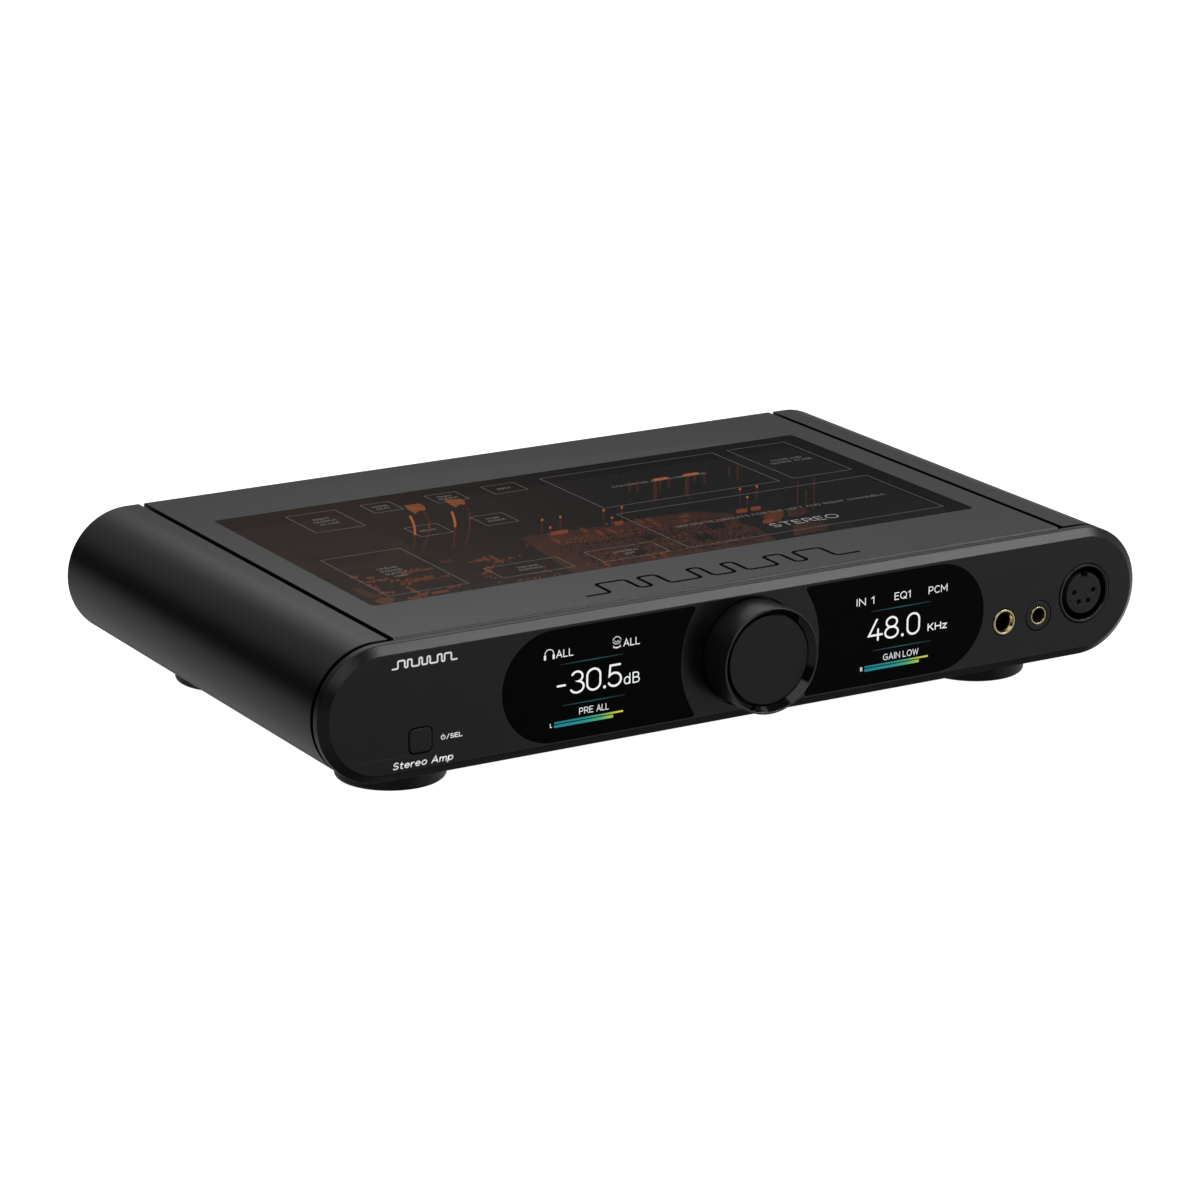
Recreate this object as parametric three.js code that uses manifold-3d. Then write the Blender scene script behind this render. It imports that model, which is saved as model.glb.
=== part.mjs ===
// Desktop DAC and headphone amplifier: a low, wide stadium-section case with a
// front panel that carries two dark displays, a push-turn volume knob, a
// select button and three headphone outlets, a smoked window in the top cover,
// and a rear panel with the mains inlet and the signal sockets.
// Millimetres, +X right, +Y back, +Z up. The origin is on the surface under
// the feet, in the middle of the outside box.
import * as THREE from 'three';
import { mergeVertices } from 'three/addons/utils/BufferGeometryUtils.js';
import Module from 'manifold-3d';

const wasm = await Module();
wasm.setup();

// ---------------------------------------------------------------- dimensions
const BODY_W = 340;            // width over the rounded ends
const BODY_H = 48.5;           // height of the case without its feet
const BODY_D = 201.6;          // front face to rear edge of the shells
const END_R = BODY_H / 2;      // the ends are full half rounds
const FOOT_H = 11.2;           // case underside to table
const FOOT_R = 19.6;
const FOOT_X = 123.2, FOOT_Y0 = 38.0, FOOT_Y1 = 164.0;
const KNOB_OUT = 13.9;         // knob front ahead of the front face
const REAR_OUT = 210.4;        // tips of the phono sockets behind the front face
const FRONT_Y = -(REAR_OUT - KNOB_OUT) / 2;   // front face in the part's frame

const CHAMFER_IN = 3.17;       // front panel chamfer, inward
const CHAMFER_Y = 2.38;        // front panel chamfer, along the depth
const PANEL_T = 5.1;           // front panel thickness
const SHELL_Y0 = 7.3;          // covers and shells start here
const COVER_X = 138.3;         // half width of the top cover
const SLOT_W = 2.0;            // open slot between cover and side shell
const COVER_T = 3.0;
const WIN_X = 126.6, WIN_Y0 = 43.7, WIN_Y1 = 167.0, WIN_R = 2.0;
const GAP = 0.3;               // assembly gap between separate pieces

const KNOB_Z = 24.4, KNOB_R = 19.35, RECESS_R = 19.9;
const DISP_Z = 24.2, DISP_HH = 20.2, DISP_CX = 80.2;
const DISP_ARC_R = 34.3, DISP_ARC_C = 5.4;
const BTN_X = -132.1, BTN_Z = 13.5, BTN_W = 8.6, BTN_H = 8.9;
const J635 = [109.8, 18.3], J44 = [125.2, 18.5], XLR4 = [145.7, 24.0];
const REAR_Y0 = 197.6, REAR_Y1 = 200.6;
const OUT_Y = REAR_Y1 + GAP;   // flanges sit here on the rear panel
const CONN_Z = 24.3;           // centre line of the rear sockets
const IEC_X = -112, ROCKER_X = -80;
const XLR_X = [86, 118], RCA_X = 60, RCA_Z = [14.0, 34.6];
const USB_X = 6, OPT_X = -20, COAX_X = 34;
const BOARD_Y = 12.0;          // front board face behind the panel

// ------------------------------------------------------------------- helpers
const group = new THREE.Group();
group.name = 'desktop_dac';
const chassis = new THREE.Group();           // y = 0 on the front face, z = 0 on the case underside
chassis.position.set(0, FRONT_Y, FOOT_H);
group.add(chassis);

const weld = (g) => {
  const c = g.index ? g.toNonIndexed() : g.clone();
  for (const k of Object.keys(c.attributes)) if (k !== 'position') c.deleteAttribute(k);
  return mergeVertices(c, 1e-4);
};
const solid = (g) => {
  const w = weld(g);
  return new wasm.Manifold(new wasm.Mesh({
    numProp: 3,
    vertProperties: new Float32Array(w.attributes.position.array),
    triVerts: new Uint32Array(w.index.array),
  }));
};
const back = (m) => {
  const k = m.getMesh();
  const g = new THREE.BufferGeometry();
  g.setAttribute('position', new THREE.BufferAttribute(new Float32Array(k.vertProperties), 3));
  g.setIndex(new THREE.BufferAttribute(new Uint32Array(k.triVerts), 1));
  return g;
};
const cut = (a, ...bs) => { let m = solid(a); for (const b of bs) m = m.subtract(solid(b)); return back(m); };
const join = (a, ...bs) => { let m = solid(a); for (const b of bs) m = m.add(solid(b)); return back(m); };
const common = (a, b) => back(solid(a).intersect(solid(b)));

// an outline drawn in X and Z, extruded along Y from y0 to y1
const alongY = (shape, y0, y1, seg = 12) => {
  const g = new THREE.ExtrudeGeometry(shape, { depth: y1 - y0, bevelEnabled: false, curveSegments: seg });
  g.rotateX(Math.PI / 2);
  g.translate(0, y1, 0);
  return g;
};
// an outline drawn in X and Y, extruded along Z from z0 to z1
const alongZ = (shape, z0, z1, seg = 12) => {
  const g = new THREE.ExtrudeGeometry(shape, { depth: z1 - z0, bevelEnabled: false, curveSegments: seg });
  g.translate(0, 0, z0);
  return g;
};
const box = (x0, x1, y0, y1, z0, z1) => {
  const g = new THREE.BoxGeometry(x1 - x0, y1 - y0, z1 - z0);
  g.translate((x0 + x1) / 2, (y0 + y1) / 2, (z0 + z1) / 2);
  return g;
};
// a round bar along Y
const rodY = (x, z, r, y0, y1, n = 24) => {
  const g = new THREE.CylinderGeometry(r, r, y1 - y0, n);
  g.translate(x, (y0 + y1) / 2, z);
  return g;
};
const rodZ = (x, y, r, z0, z1, n = 24) => {
  const g = new THREE.CylinderGeometry(r, r, z1 - z0, n);
  g.rotateX(Math.PI / 2);
  g.translate(x, y, (z0 + z1) / 2);
  return g;
};
// a profile of [radius, y] pairs turned about an axis along Y
const turnedY = (x, z, profile, n = 32) => {
  const pts = profile.map(([r, y]) => new THREE.Vector2(r, y));
  const closed = profile[0][0] < 1e-9 && profile[profile.length - 1][0] < 1e-9;
  if (!closed) pts.push(pts[0].clone());
  const g = new THREE.LatheGeometry(pts, n);
  g.translate(x, 0, z);
  return outward(g);
};
// a profile of [radius, z] pairs turned about an axis along Z
const turnedZ = (x, y, profile, n = 32) => {
  const pts = profile.map(([r, z]) => new THREE.Vector2(r, z));
  const closed = profile[0][0] < 1e-9 && profile[profile.length - 1][0] < 1e-9;
  if (!closed) pts.push(pts[0].clone());
  const g = new THREE.LatheGeometry(pts, n);
  g.rotateX(Math.PI / 2);
  g.translate(x, y, 0);
  return outward(g);
};
// turn the faces out if the signed volume is negative
const outward = (g0) => {
  const g = weld(g0);
  const p = g.attributes.position, ix = g.index.array;
  let keep = [], v = 0;
  const a = new THREE.Vector3(), b = new THREE.Vector3(), c = new THREE.Vector3(), n = new THREE.Vector3();
  for (let i = 0; i < ix.length; i += 3) {
    if (ix[i] === ix[i + 1] || ix[i + 1] === ix[i + 2] || ix[i] === ix[i + 2]) continue;
    a.fromBufferAttribute(p, ix[i]); b.fromBufferAttribute(p, ix[i + 1]); c.fromBufferAttribute(p, ix[i + 2]);
    n.crossVectors(b.clone().sub(a), c.clone().sub(a));
    if (n.length() < 1e-9) continue;
    v += a.dot(b.clone().cross(c)) / 6;
    keep.push(ix[i], ix[i + 1], ix[i + 2]);
  }
  if (v < 0) for (let i = 0; i < keep.length; i += 3) { const t = keep[i + 1]; keep[i + 1] = keep[i + 2]; keep[i + 2] = t; }
  g.setIndex(keep);
  return g;
};
const rect = (x0, x1, z0, z1, r = 0) => {
  const s = new THREE.Shape();
  if (!r) { s.moveTo(x0, z0); s.lineTo(x1, z0); s.lineTo(x1, z1); s.lineTo(x0, z1); s.closePath(); return s; }
  s.moveTo(x0 + r, z0); s.lineTo(x1 - r, z0); s.absarc(x1 - r, z0 + r, r, -Math.PI / 2, 0, false);
  s.lineTo(x1, z1 - r); s.absarc(x1 - r, z1 - r, r, 0, Math.PI / 2, false);
  s.lineTo(x0 + r, z1); s.absarc(x0 + r, z1 - r, r, Math.PI / 2, Math.PI, false);
  s.lineTo(x0, z0 + r); s.absarc(x0 + r, z0 + r, r, Math.PI, 1.5 * Math.PI, false);
  return s;
};
const circle = (x, z, r) => { const s = new THREE.Shape(); s.absarc(x, z, r, 0, 2 * Math.PI, false); return s; };
const poly = (pts) => {
  const s = new THREE.Shape();
  pts.forEach(([x, z], i) => (i ? s.lineTo(x, z) : s.moveTo(x, z)));
  s.closePath();
  return s;
};
// arc points about (cx, cz) from angle a0 to a1 in degrees
const arc = (cx, cz, r, a0, a1, n) => Array.from({ length: n + 1 }, (_, i) => {
  const a = (a0 + (a1 - a0) * i / n) * Math.PI / 180;
  return [cx + r * Math.cos(a), cz + r * Math.sin(a)];
});
const stadium = (inset = 0, n = 16) => {
  const r = END_R - inset, cx = BODY_W / 2 - END_R;
  return poly([...arc(cx, END_R, r, -90, 90, n), ...arc(-cx, END_R, r, 90, 270, n)]);
};
// the display outline: a half round outer end, a hollow arc beside the knob
const displayOutline = (side, inset = 0) => {
  const r = DISP_HH - inset, R = DISP_ARC_R + inset;
  const a = Math.asin(r / R) * 180 / Math.PI;
  const pts = [...arc(-DISP_CX, DISP_Z, r, 90, 270, 14),
    ...arc(DISP_ARC_C, DISP_Z, R, 180 + a, 180 - a, 8)];
  return poly(side < 0 ? pts : pts.map(([x, z]) => [-x, z]).reverse());
};
const COLOURS = {
  anodised: [0x4a4b4d, 0.42, 0.85], panel: [0x2a2b2c, 0.5, 0.8], glass: [0x101112, 0.06, 0.0],
  dark: [0x0c0c0d, 0.6, 0.0], rubber: [0x111111, 0.9, 0.0], gold: [0xd8ab4d, 0.25, 1.0],
  steel: [0x9b9da0, 0.3, 1.0], board: [0x16231b, 0.6, 0.1], copper: [0xb86a34, 0.4, 0.9],
  beige: [0xc7bfae, 0.6, 0.0], black_steel: [0x1d1d1f, 0.5, 0.7], tin: [0xb9bbbd, 0.35, 1.0],
};
const add = (name, geometry, colour) => {
  const [c, roughness, metalness] = COLOURS[colour];
  const m = new THREE.Mesh(geometry, new THREE.MeshStandardMaterial({ color: c, roughness, metalness }));
  m.name = name;
  chassis.add(m);
  return m;
};

// ------------------------------------------------------------------ the case
{
  const s = stadium(0);
  s.holes.push(displayOutline(-1), displayOutline(1));
  s.holes.push(circle(0, KNOB_Z, 3.9));
  s.holes.push(rect(BTN_X - BTN_W / 2 - GAP, BTN_X + BTN_W / 2 + GAP, BTN_Z - BTN_H / 2 - GAP, BTN_Z + BTN_H / 2 + GAP, 2.2));
  s.holes.push(circle(J635[0], J635[1], 5.4), circle(J44[0], J44[1], 5.8), circle(XLR4[0], XLR4[1], 11.85));
  const blank = new THREE.ExtrudeGeometry(stadium(CHAMFER_IN), {
    depth: 12, bevelEnabled: true, bevelThickness: CHAMFER_Y, bevelSize: CHAMFER_IN, bevelSegments: 1, curveSegments: 12,
  });
  blank.rotateX(Math.PI / 2);
  blank.translate(0, 12 + CHAMFER_Y, 0);
  const plate = common(alongY(s, -0.5, PANEL_T, 9), blank);
  add('front_panel', cut(plate, rodY(0, KNOB_Z, RECESS_R, -1, 3.0, 36)), 'panel');
}
{
  const s = rect(-COVER_X, COVER_X, SHELL_Y0, BODY_D);
  s.holes.push(rect(-WIN_X, WIN_X, WIN_Y0, WIN_Y1, WIN_R));
  const plate = alongZ(s, BODY_H - COVER_T, BODY_H, 4);
  add('top_cover', plate, 'anodised');
  const ledge = rect(-WIN_X - 3.4, WIN_X + 3.4, WIN_Y0 - 3.4, WIN_Y1 + 3.4, WIN_R);
  ledge.holes.push(rect(-WIN_X + 3, WIN_X - 3, WIN_Y0 + 3, WIN_Y1 - 3, WIN_R));
  add('window_gasket', alongZ(ledge, BODY_H - COVER_T - 1.2, BODY_H - COVER_T - GAP, 4), 'rubber');
  add('top_window', alongZ(rect(-WIN_X + 0.25, WIN_X - 0.25, WIN_Y0 + 0.25, WIN_Y1 - 0.25, WIN_R), BODY_H - COVER_T + 0.3, BODY_H - 0.05, 4), 'glass');
}
// side shells: a half round wall with two inner lips that carry the cover and the base
const shellProfile = () => {
  const cx = -(BODY_W / 2 - END_R), r = END_R - 3.2, x0 = -(COVER_X + SLOT_W);
  const h = Math.sqrt(r * r - (43.0 - END_R) ** 2), a = Math.atan2(43.0 - END_R, -h) * 180 / Math.PI;
  return [[x0, BODY_H], ...arc(cx, END_R, END_R, 90, 270, 16), [x0, 0], [x0, 3.3], [-132, 3.3], [-132, 5.5],
    ...arc(cx, END_R, r, 360 - a, a, 10), [-132, 43.0], [-132, 45.2], [x0, 45.2]];
};
add('left_side_shell', outward(alongY(poly(shellProfile()), SHELL_Y0, BODY_D)), 'anodised');
add('right_side_shell', outward(alongY(poly(shellProfile().map(([x, z]) => [-x, z]).reverse()), SHELL_Y0, BODY_D)), 'anodised');
{
  // base plate with bosses for the boards
  const bosses = [[-120, 46], [-120, 186], [-52, 46], [-36, 186], [120, 46], [120, 186]].map(([x, y]) => rodZ(x, y, 3.5, 2.0, 8.4, 12));
  add('bottom_plate', join(box(-140, 140, SHELL_Y0, BODY_D, 0, 3.0), ...bosses), 'anodised');
}
{
  const half = [[131.7, 45.2], [131.7, 42.7], [155, 42.7], ...arc(145.75, END_R, 20.7, 62, -62, 10), [155, 5.8], [131.7, 5.8], [131.7, 3.3]];
  const s = poly([...half, ...half.map(([x, z]) => [-x, z]).reverse()].reverse());
  const oct = (x, z, w, h, c) => poly([[x - w + c, z - h], [x + w - c, z - h], [x + w, z - h + c], [x + w, z + h - c], [x + w - c, z + h], [x - w + c, z + h], [x - w, z + h - c], [x - w, z - h + c]]);
  s.holes.push(oct(IEC_X, CONN_Z, 13.9, 10.2, 4));
  s.holes.push(rect(ROCKER_X - 6.8, ROCKER_X + 6.8, CONN_Z - 9.9, CONN_Z + 9.9));
  for (const x of XLR_X) s.holes.push(circle(x, CONN_Z, 12.0));
  for (const z of RCA_Z) s.holes.push(circle(RCA_X, z, 4.8));
  s.holes.push(circle(COAX_X, CONN_Z, 4.8));
  s.holes.push(rect(USB_X - 6.4, USB_X + 6.4, CONN_Z - 6.0, CONN_Z + 6.0));
  s.holes.push(rect(OPT_X - 6.4, OPT_X + 6.4, CONN_Z - 6.4, CONN_Z + 6.4));
  for (const [x, z] of [[-128, 9.5], [-128, 39], [136, 9.5], [136, 39]]) s.holes.push(circle(x, z, 1.8));
  add('rear_panel', outward(alongY(s, REAR_Y0, REAR_Y1, 8)), 'anodised');
}
[['lower_left', -128, 9.5], ['upper_left', -128, 39], ['lower_right', 136, 9.5], ['upper_right', 136, 39]].forEach(([n, x, z]) => {
  // round head with a hexagon socket, shank through the panel
  const head = turnedY(x, z, [[0, REAR_Y0 - 6], [1.4, REAR_Y0 - 6], [1.4, OUT_Y], [2.7, OUT_Y], [2.7, OUT_Y + 1.0], [2.2, OUT_Y + 1.6], [0, OUT_Y + 1.6]], 16);
  const socket = new THREE.CylinderGeometry(1.15, 1.15, 1.4, 6);
  socket.translate(x, OUT_Y + 1.3, z);
  add('rear_screw_' + n, cut(head, socket), 'black_steel');
});

// ------------------------------------------------------------------ the feet
for (const [n, x, y] of [['front_left', -FOOT_X, FOOT_Y0], ['front_right', FOOT_X, FOOT_Y0], ['rear_left', -FOOT_X, FOOT_Y1], ['rear_right', FOOT_X, FOOT_Y1]]) {
  add('foot_' + n, turnedZ(x, y, [[0, -0.3], [FOOT_R - 0.8, -0.3], [FOOT_R, -1.1], [FOOT_R, -FOOT_H + 1.2], [FOOT_R - 1.2, -FOOT_H],
    [5.2, -FOOT_H], [5.2, -FOOT_H + 3.2], [0, -FOOT_H + 3.2]], 28), 'rubber');
}

// -------------------------------------------------------------- the displays
for (const [n, s] of [['left', -1], ['right', 1]]) {
  add('display_lens_' + n, outward(alongY(displayOutline(s, 0.2), 0.05, 2.0)), 'glass');
  add('display_module_' + n, outward(alongY(displayOutline(s, 1.0), 2.3, 7.4)), 'dark');
}

// -------------------------------------------------------- knob and encoder
{
  const knob = turnedY(0, KNOB_Z, [[0, -10.5], [16.6, -10.5], [16.6, -12.0], [18.7, -13.9], [19.05, -13.9], [19.35, -13.6],
    [19.35, 0.5], [19.05, 0.8], [16.4, 0.8], [16.4, -8.0], [6.8, -8.0], [6.8, -3.6], [3.25, -3.6], [3.25, -9.4], [0, -9.4]], 36);
  const access = new THREE.CylinderGeometry(1.8, 1.8, 20, 12);
  access.rotateX(Math.PI / 2);
  access.translate(0, -5.6, KNOB_Z - 12.6);
  add('volume_knob', cut(knob, access), 'anodised');
  add('knob_face_disc', turnedY(0, KNOB_Z, [[0, -10.8], [16.3, -10.8], [16.3, -11.8], [16.1, -12.0], [0, -12.0]], 36), 'panel');
  const grub = new THREE.CylinderGeometry(1.45, 1.45, 3.2, 12);
  grub.rotateX(Math.PI / 2);
  grub.translate(0, -5.6, KNOB_Z - 5.0);
  add('knob_set_screw', grub, 'black_steel');
  add('encoder_shaft', turnedY(0, KNOB_Z, [[0, -9.1], [2.7, -9.1], [3.0, -8.8], [3.0, 9.6], [0, 9.6]], 24), 'steel');
  add('encoder_rotor', turnedY(0, KNOB_Z, [[3.2, 7.0], [5.2, 7.0], [5.2, 8.8], [3.2, 8.8]], 24), 'dark');
  const body = join(box(-7, 7, 5.4, 11.7, KNOB_Z - 7, KNOB_Z + 7), rodY(0, KNOB_Z, 3.65, -2.2, 6.0, 24));
  add('encoder_housing', cut(body, rodY(0, KNOB_Z, 3.12, -4, 8, 24), rodY(0, KNOB_Z, 5.6, 6.5, 13, 24)), 'steel');
  const nut = new THREE.CylinderGeometry(6.2, 6.2, 1.8, 6);
  nut.translate(0, 1.8, KNOB_Z);
  add('encoder_nut', cut(nut, rodY(0, KNOB_Z, 3.95, 0, 4, 24)), 'steel');
  add('encoder_push_plunger', turnedY(0, KNOB_Z, [[0, 9.9], [1.8, 9.9], [1.8, 11.0], [0, 11.0]], 16), 'dark');
}

// --------------------------------------------------------- the select button
{
  const b = (w, h, r) => rect(BTN_X - w / 2, BTN_X + w / 2, BTN_Z - h / 2, BTN_Z + h / 2, r);
  add('select_button', join(alongY(b(BTN_W, BTN_H, 2.0), -0.15, 5.8, 5), alongY(b(11.0, 11.3, 2.0), 5.4, 6.4, 5)), 'anodised');
  add('tact_switch_body', cut(box(BTN_X - 3, BTN_X + 3, 8.0, 11.7, BTN_Z - 3, BTN_Z + 3), rodY(BTN_X, BTN_Z, 1.95, 7, 10.6, 16)), 'dark');
  add('tact_switch_stem', rodY(BTN_X, BTN_Z, 1.65, 6.7, 9.7, 16), 'beige');
}

// -------------------------------------------------------- headphone outlets
{
  const [x, z] = J635;
  add('jack_635_bushing', turnedY(x, z, [[3.25, 5.0], [3.25, 0.9], [3.9, -0.25], [5.07, -0.25], [5.07, 5.0]], 24), 'gold');
  const c = poly([[x - 7, z - 8], [x + 7, z - 8], [x + 7, z + 8], [x - 7, z + 8]]);
  c.holes.push(circle(x, z, 3.25));
  add('jack_635_body', join(outward(alongY(c, 5.5, 34, 12)), box(x - 7, x + 7, 33.5, 36, z - 8, z + 8)), 'dark');
}
{
  const [x, z] = J44;
  add('jack_44_collar', turnedY(x, z, [[3.85, 4.8], [3.85, -0.2], [5.3, -0.2], [5.5, 0.0], [5.5, 4.8]], 24), 'dark');
  add('jack_44_bushing', turnedY(x, z, [[2.3, 5.0], [2.3, 0.8], [2.95, -0.15], [3.56, -0.15], [3.56, 5.0]], 20), 'gold');
  const c = rect(x - 6, x + 6, z - 8.2, z + 6);
  c.holes.push(circle(x, z, 2.3));
  add('jack_44_body', join(outward(alongY(c, 5.5, 26, 12)), box(x - 6, x + 6, 25.5, 28, z - 8.2, z + 6)), 'dark');
}
{
  const [x, z] = XLR4;
  add('headphone_xlr_shell', turnedY(x, z, [[9.76, -0.25], [11.3, -0.25], [11.55, 0.0], [11.55, 22], [8.2, 22], [8.2, 15], [9.76, 15]], 28), 'black_steel');
  const ins = circle(x, z, 7.84);
  for (const [dx, dz] of [[-4.3, 0.6], [4.3, 0.6], [-2.1, -3.2], [2.1, -3.2]]) ins.holes.push(circle(x + dx, z + dz, 0.95));
  const holes = outward(alongY(ins, 0.1, 12, 7));
  const keyway = box(x - 1.5, x + 1.5, -1, 9, z + 6.1, z + 9);
  add('headphone_xlr_insert', cut(join(holes, rodY(x, z, 7.84, 11.5, 24, 28)), keyway), 'dark');
}
add('front_board', box(-140, 98, BOARD_Y, BOARD_Y + 1.6, 5.9, 42.5), 'board');
add('jack_board', box(101, 134, 14, 41, 6.6, 8.2), 'board');

// ------------------------------------------------------------------ internals
{
  add('main_board', box(-40, 126, 49, 187.6, 8.8, 10.4), 'board');
  add('power_board', box(-126, -46, 49, 178, 8.8, 10.4), 'board');
  add('toroidal_transformer', turnedZ(-86, 146, [[9, 10.9], [26.5, 10.9], [29, 13.5], [29, 34.5], [26.5, 37], [9, 37]], 24), 'copper');
  add('transformer_clamp', turnedZ(-86, 146, [[0, 10.9], [4.0, 10.9], [4.0, 37.4], [17, 37.4], [17, 39.2], [0, 39.2]], 16), 'black_steel');
  for (const [n, x, y] of [['left', -98, 92], ['right', -78, 92]]) {
    add('reservoir_capacitor_' + n, turnedZ(x, y, [[0, 10.9], [6.3, 10.9], [6.3, 33.4], [5.9, 34], [0, 34]], 12), 'dark');
  }
  const fins = [box(40, 100, 150, 172, 10.9, 14.5)];
  for (let i = 0; i < 9; i++) fins.push(box(40 + i * 7.25, 42 + i * 7.25, 150, 172, 14, 34));
  add('amplifier_heatsink', join(...fins), 'black_steel');
  add('converter_shield', box(14, 60, 74, 112, 10.9, 17.5), 'tin');
  // upper board on its spacers, under the window
  const spacers = [[-51, 94], [-51, 145], [10, 94], [30, 146], [106, 94], [106, 145]].map(([x, y]) => rodZ(x, y, 2.6, 10.7, 28.8, 6));
  add('upper_board', join(box(-55, 110, 90, 149, 28.4, 30), ...spacers), 'board');
}

// -------------------------------------------------------------- rear sockets
{
  // mains inlet: snap-in flange, cavity and three blades
  const x = IEC_X, z = CONN_Z;
  const oct = (w, h, c) => poly([[x - w + c, z - h], [x + w - c, z - h], [x + w, z - h + c], [x + w, z + h - c], [x + w - c, z + h], [x - w + c, z + h], [x - w, z + h - c], [x - w, z - h + c]]);
  const shell = join(outward(alongY(oct(13.5, 9.8, 3.6), 180, OUT_Y + 0.4)), alongY(rect(x - 15.4, x + 15.4, z - 12, z + 12, 1.5), OUT_Y, OUT_Y + 2.6, 3));
  const hollow = cut(shell, outward(alongY(oct(12.1, 8.4, 3.2), 186, OUT_Y + 5)));
  add('mains_inlet', join(hollow, box(x - 8, x - 6, 185, 200, z - 3.5, z + 0.5), box(x + 6, x + 8, 185, 200, z - 3.5, z + 0.5), box(x - 1, x + 1, 185, 200, z + 1, z + 5)), 'dark');
}
{
  const x = ROCKER_X, z = CONN_Z;
  const shell = join(box(x - 6.5, x + 6.5, 184, OUT_Y + 0.4, z - 9.6, z + 9.6), alongY(rect(x - 7.6, x + 7.6, z - 10.8, z + 10.8, 1.2), OUT_Y, OUT_Y + 2.2, 3));
  add('mains_switch_frame', cut(shell, box(x - 5.3, x + 5.3, 187, OUT_Y + 5, z - 8.7, z + 8.7)), 'dark');
  // rocker: shallow V face, tipped 7 degrees at rest so its lower half stands out
  const V = [[-5.0, -2.2], [-5.0, 2.2], [-3.4, 6.2], [3.6, 7.3], [6.8, 7.0], [5.2, 0], [6.8, -7.0], [3.6, -7.3], [-3.4, -6.2]];
  const g = new THREE.ExtrudeGeometry(poly(V.map(([y, zz]) => [y, zz])), { depth: 9.8, bevelEnabled: false });
  // the outline's first axis becomes +Y and its second +Z
  g.rotateY(Math.PI / 2);
  g.rotateX(Math.PI / 2);
  const m = new THREE.Matrix4();
  const w = outward(g);
  w.computeBoundingBox();
  const b = w.boundingBox;
  w.translate(-(b.min.x + b.max.x) / 2, 0, 0);
  m.makeRotationX(7 * Math.PI / 180);
  w.applyMatrix4(m);
  w.translate(x, 196.3, z);
  add('mains_switch_rocker', w, 'dark');
}
XLR_X.forEach((x, i) => {
  const z = CONN_Z;
  const plate = alongY(rect(x - 13, x + 13, z - 15.5, z + 15.5, 2), OUT_Y, OUT_Y + 2.0, 3);
  const cup = cut(join(plate, rodY(x, z, 11.6, 183, OUT_Y + 0.5, 24)), rodY(x, z, 9.3, 186, OUT_Y + 5, 24));
  add(i ? 'xlr_out_right' : 'xlr_out_left', join(cup, rodY(x - 3.9, z + 1.7, 1.2, 185, 199, 8), rodY(x + 3.9, z + 1.7, 1.2, 185, 199, 8), rodY(x, z - 4.1, 1.2, 185, 199, 8)), 'dark');
});
const phono = (x, z) => turnedY(x, z, [[0, 188], [4.3, 188], [4.3, OUT_Y], [6.2, OUT_Y], [6.2, OUT_Y + 1.6], [4.15, OUT_Y + 1.6], [4.15, REAR_OUT - 0.3], [3.85, REAR_OUT],
  [1.65, REAR_OUT], [1.65, REAR_OUT - 9], [0, REAR_OUT - 9]], 16);
add('phono_out_upper', phono(RCA_X, RCA_Z[1]), 'gold');
add('phono_out_lower', phono(RCA_X, RCA_Z[0]), 'gold');
add('coaxial_in', phono(COAX_X, CONN_Z), 'gold');
{
  const x = USB_X, z = CONN_Z;
  const outer = box(x - 6.05, x + 6.05, 184, 201.2, z - 5.65, z + 5.65);
  const house = poly([[x - 4.25, z - 3.9], [x + 4.25, z - 3.9], [x + 4.25, z + 1.9], [x + 2.7, z + 3.9], [x - 2.7, z + 3.9], [x - 4.25, z + 1.9]]);
  add('usb_socket', join(cut(outer, outward(alongY(house, 190.5, 210))), box(x - 2.85, x + 2.85, 190, 200.6, z - 1.6, z + 1.6)), 'steel');
}
{
  const x = OPT_X, z = CONN_Z;
  const outer = box(x - 6.1, x + 6.1, 184, 201.4, z - 6.1, z + 6.1);
  add('optical_socket', cut(outer, box(x - 4.7, x + 4.7, 188.5, 205, z - 4.9, z + 4.9)), 'dark');
  // sprung flap that closes the mouth and swings in and up
  add('optical_flap', box(x - 4.4, x + 4.4, 199.6, 200.4, z - 4.5, z + 4.3), 'dark');
}

export default group;
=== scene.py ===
import bpy, bmesh, math, random
from mathutils import Vector, Matrix
from mathutils.geometry import tessellate_polygon


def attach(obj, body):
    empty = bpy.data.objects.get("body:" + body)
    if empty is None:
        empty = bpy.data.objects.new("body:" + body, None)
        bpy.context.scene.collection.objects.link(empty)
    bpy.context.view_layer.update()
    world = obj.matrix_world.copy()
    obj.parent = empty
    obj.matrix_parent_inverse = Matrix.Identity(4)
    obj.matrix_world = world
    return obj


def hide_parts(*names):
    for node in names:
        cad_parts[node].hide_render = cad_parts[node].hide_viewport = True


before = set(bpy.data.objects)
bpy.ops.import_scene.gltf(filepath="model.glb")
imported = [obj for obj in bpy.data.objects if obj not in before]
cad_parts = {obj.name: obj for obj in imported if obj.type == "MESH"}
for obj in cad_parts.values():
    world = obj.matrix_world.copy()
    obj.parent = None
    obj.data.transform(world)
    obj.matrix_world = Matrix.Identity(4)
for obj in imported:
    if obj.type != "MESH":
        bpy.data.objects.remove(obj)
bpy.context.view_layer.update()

# All shapes below are given in millimetres in the case's own coordinates: x to the right, y back from the
# front face, z up from the case underside. W() places them in the shared frame, in metres.
FRONT_Y = -98.25
FOOT_H = 11.2
RAD = 24.25          # radius of the rounded ends
HALF = 145.75        # centre of a rounded end
BODY_Y0, BODY_Y1 = 7.3, 201.6
OUT_Y = 200.9        # outer face line of the rear connectors
CZ = 24.3            # height of the rear connectors


def W(x, y, z):
    return ((x) / 1000.0, (y + FRONT_Y) / 1000.0, (z + FOOT_H) / 1000.0)


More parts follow.
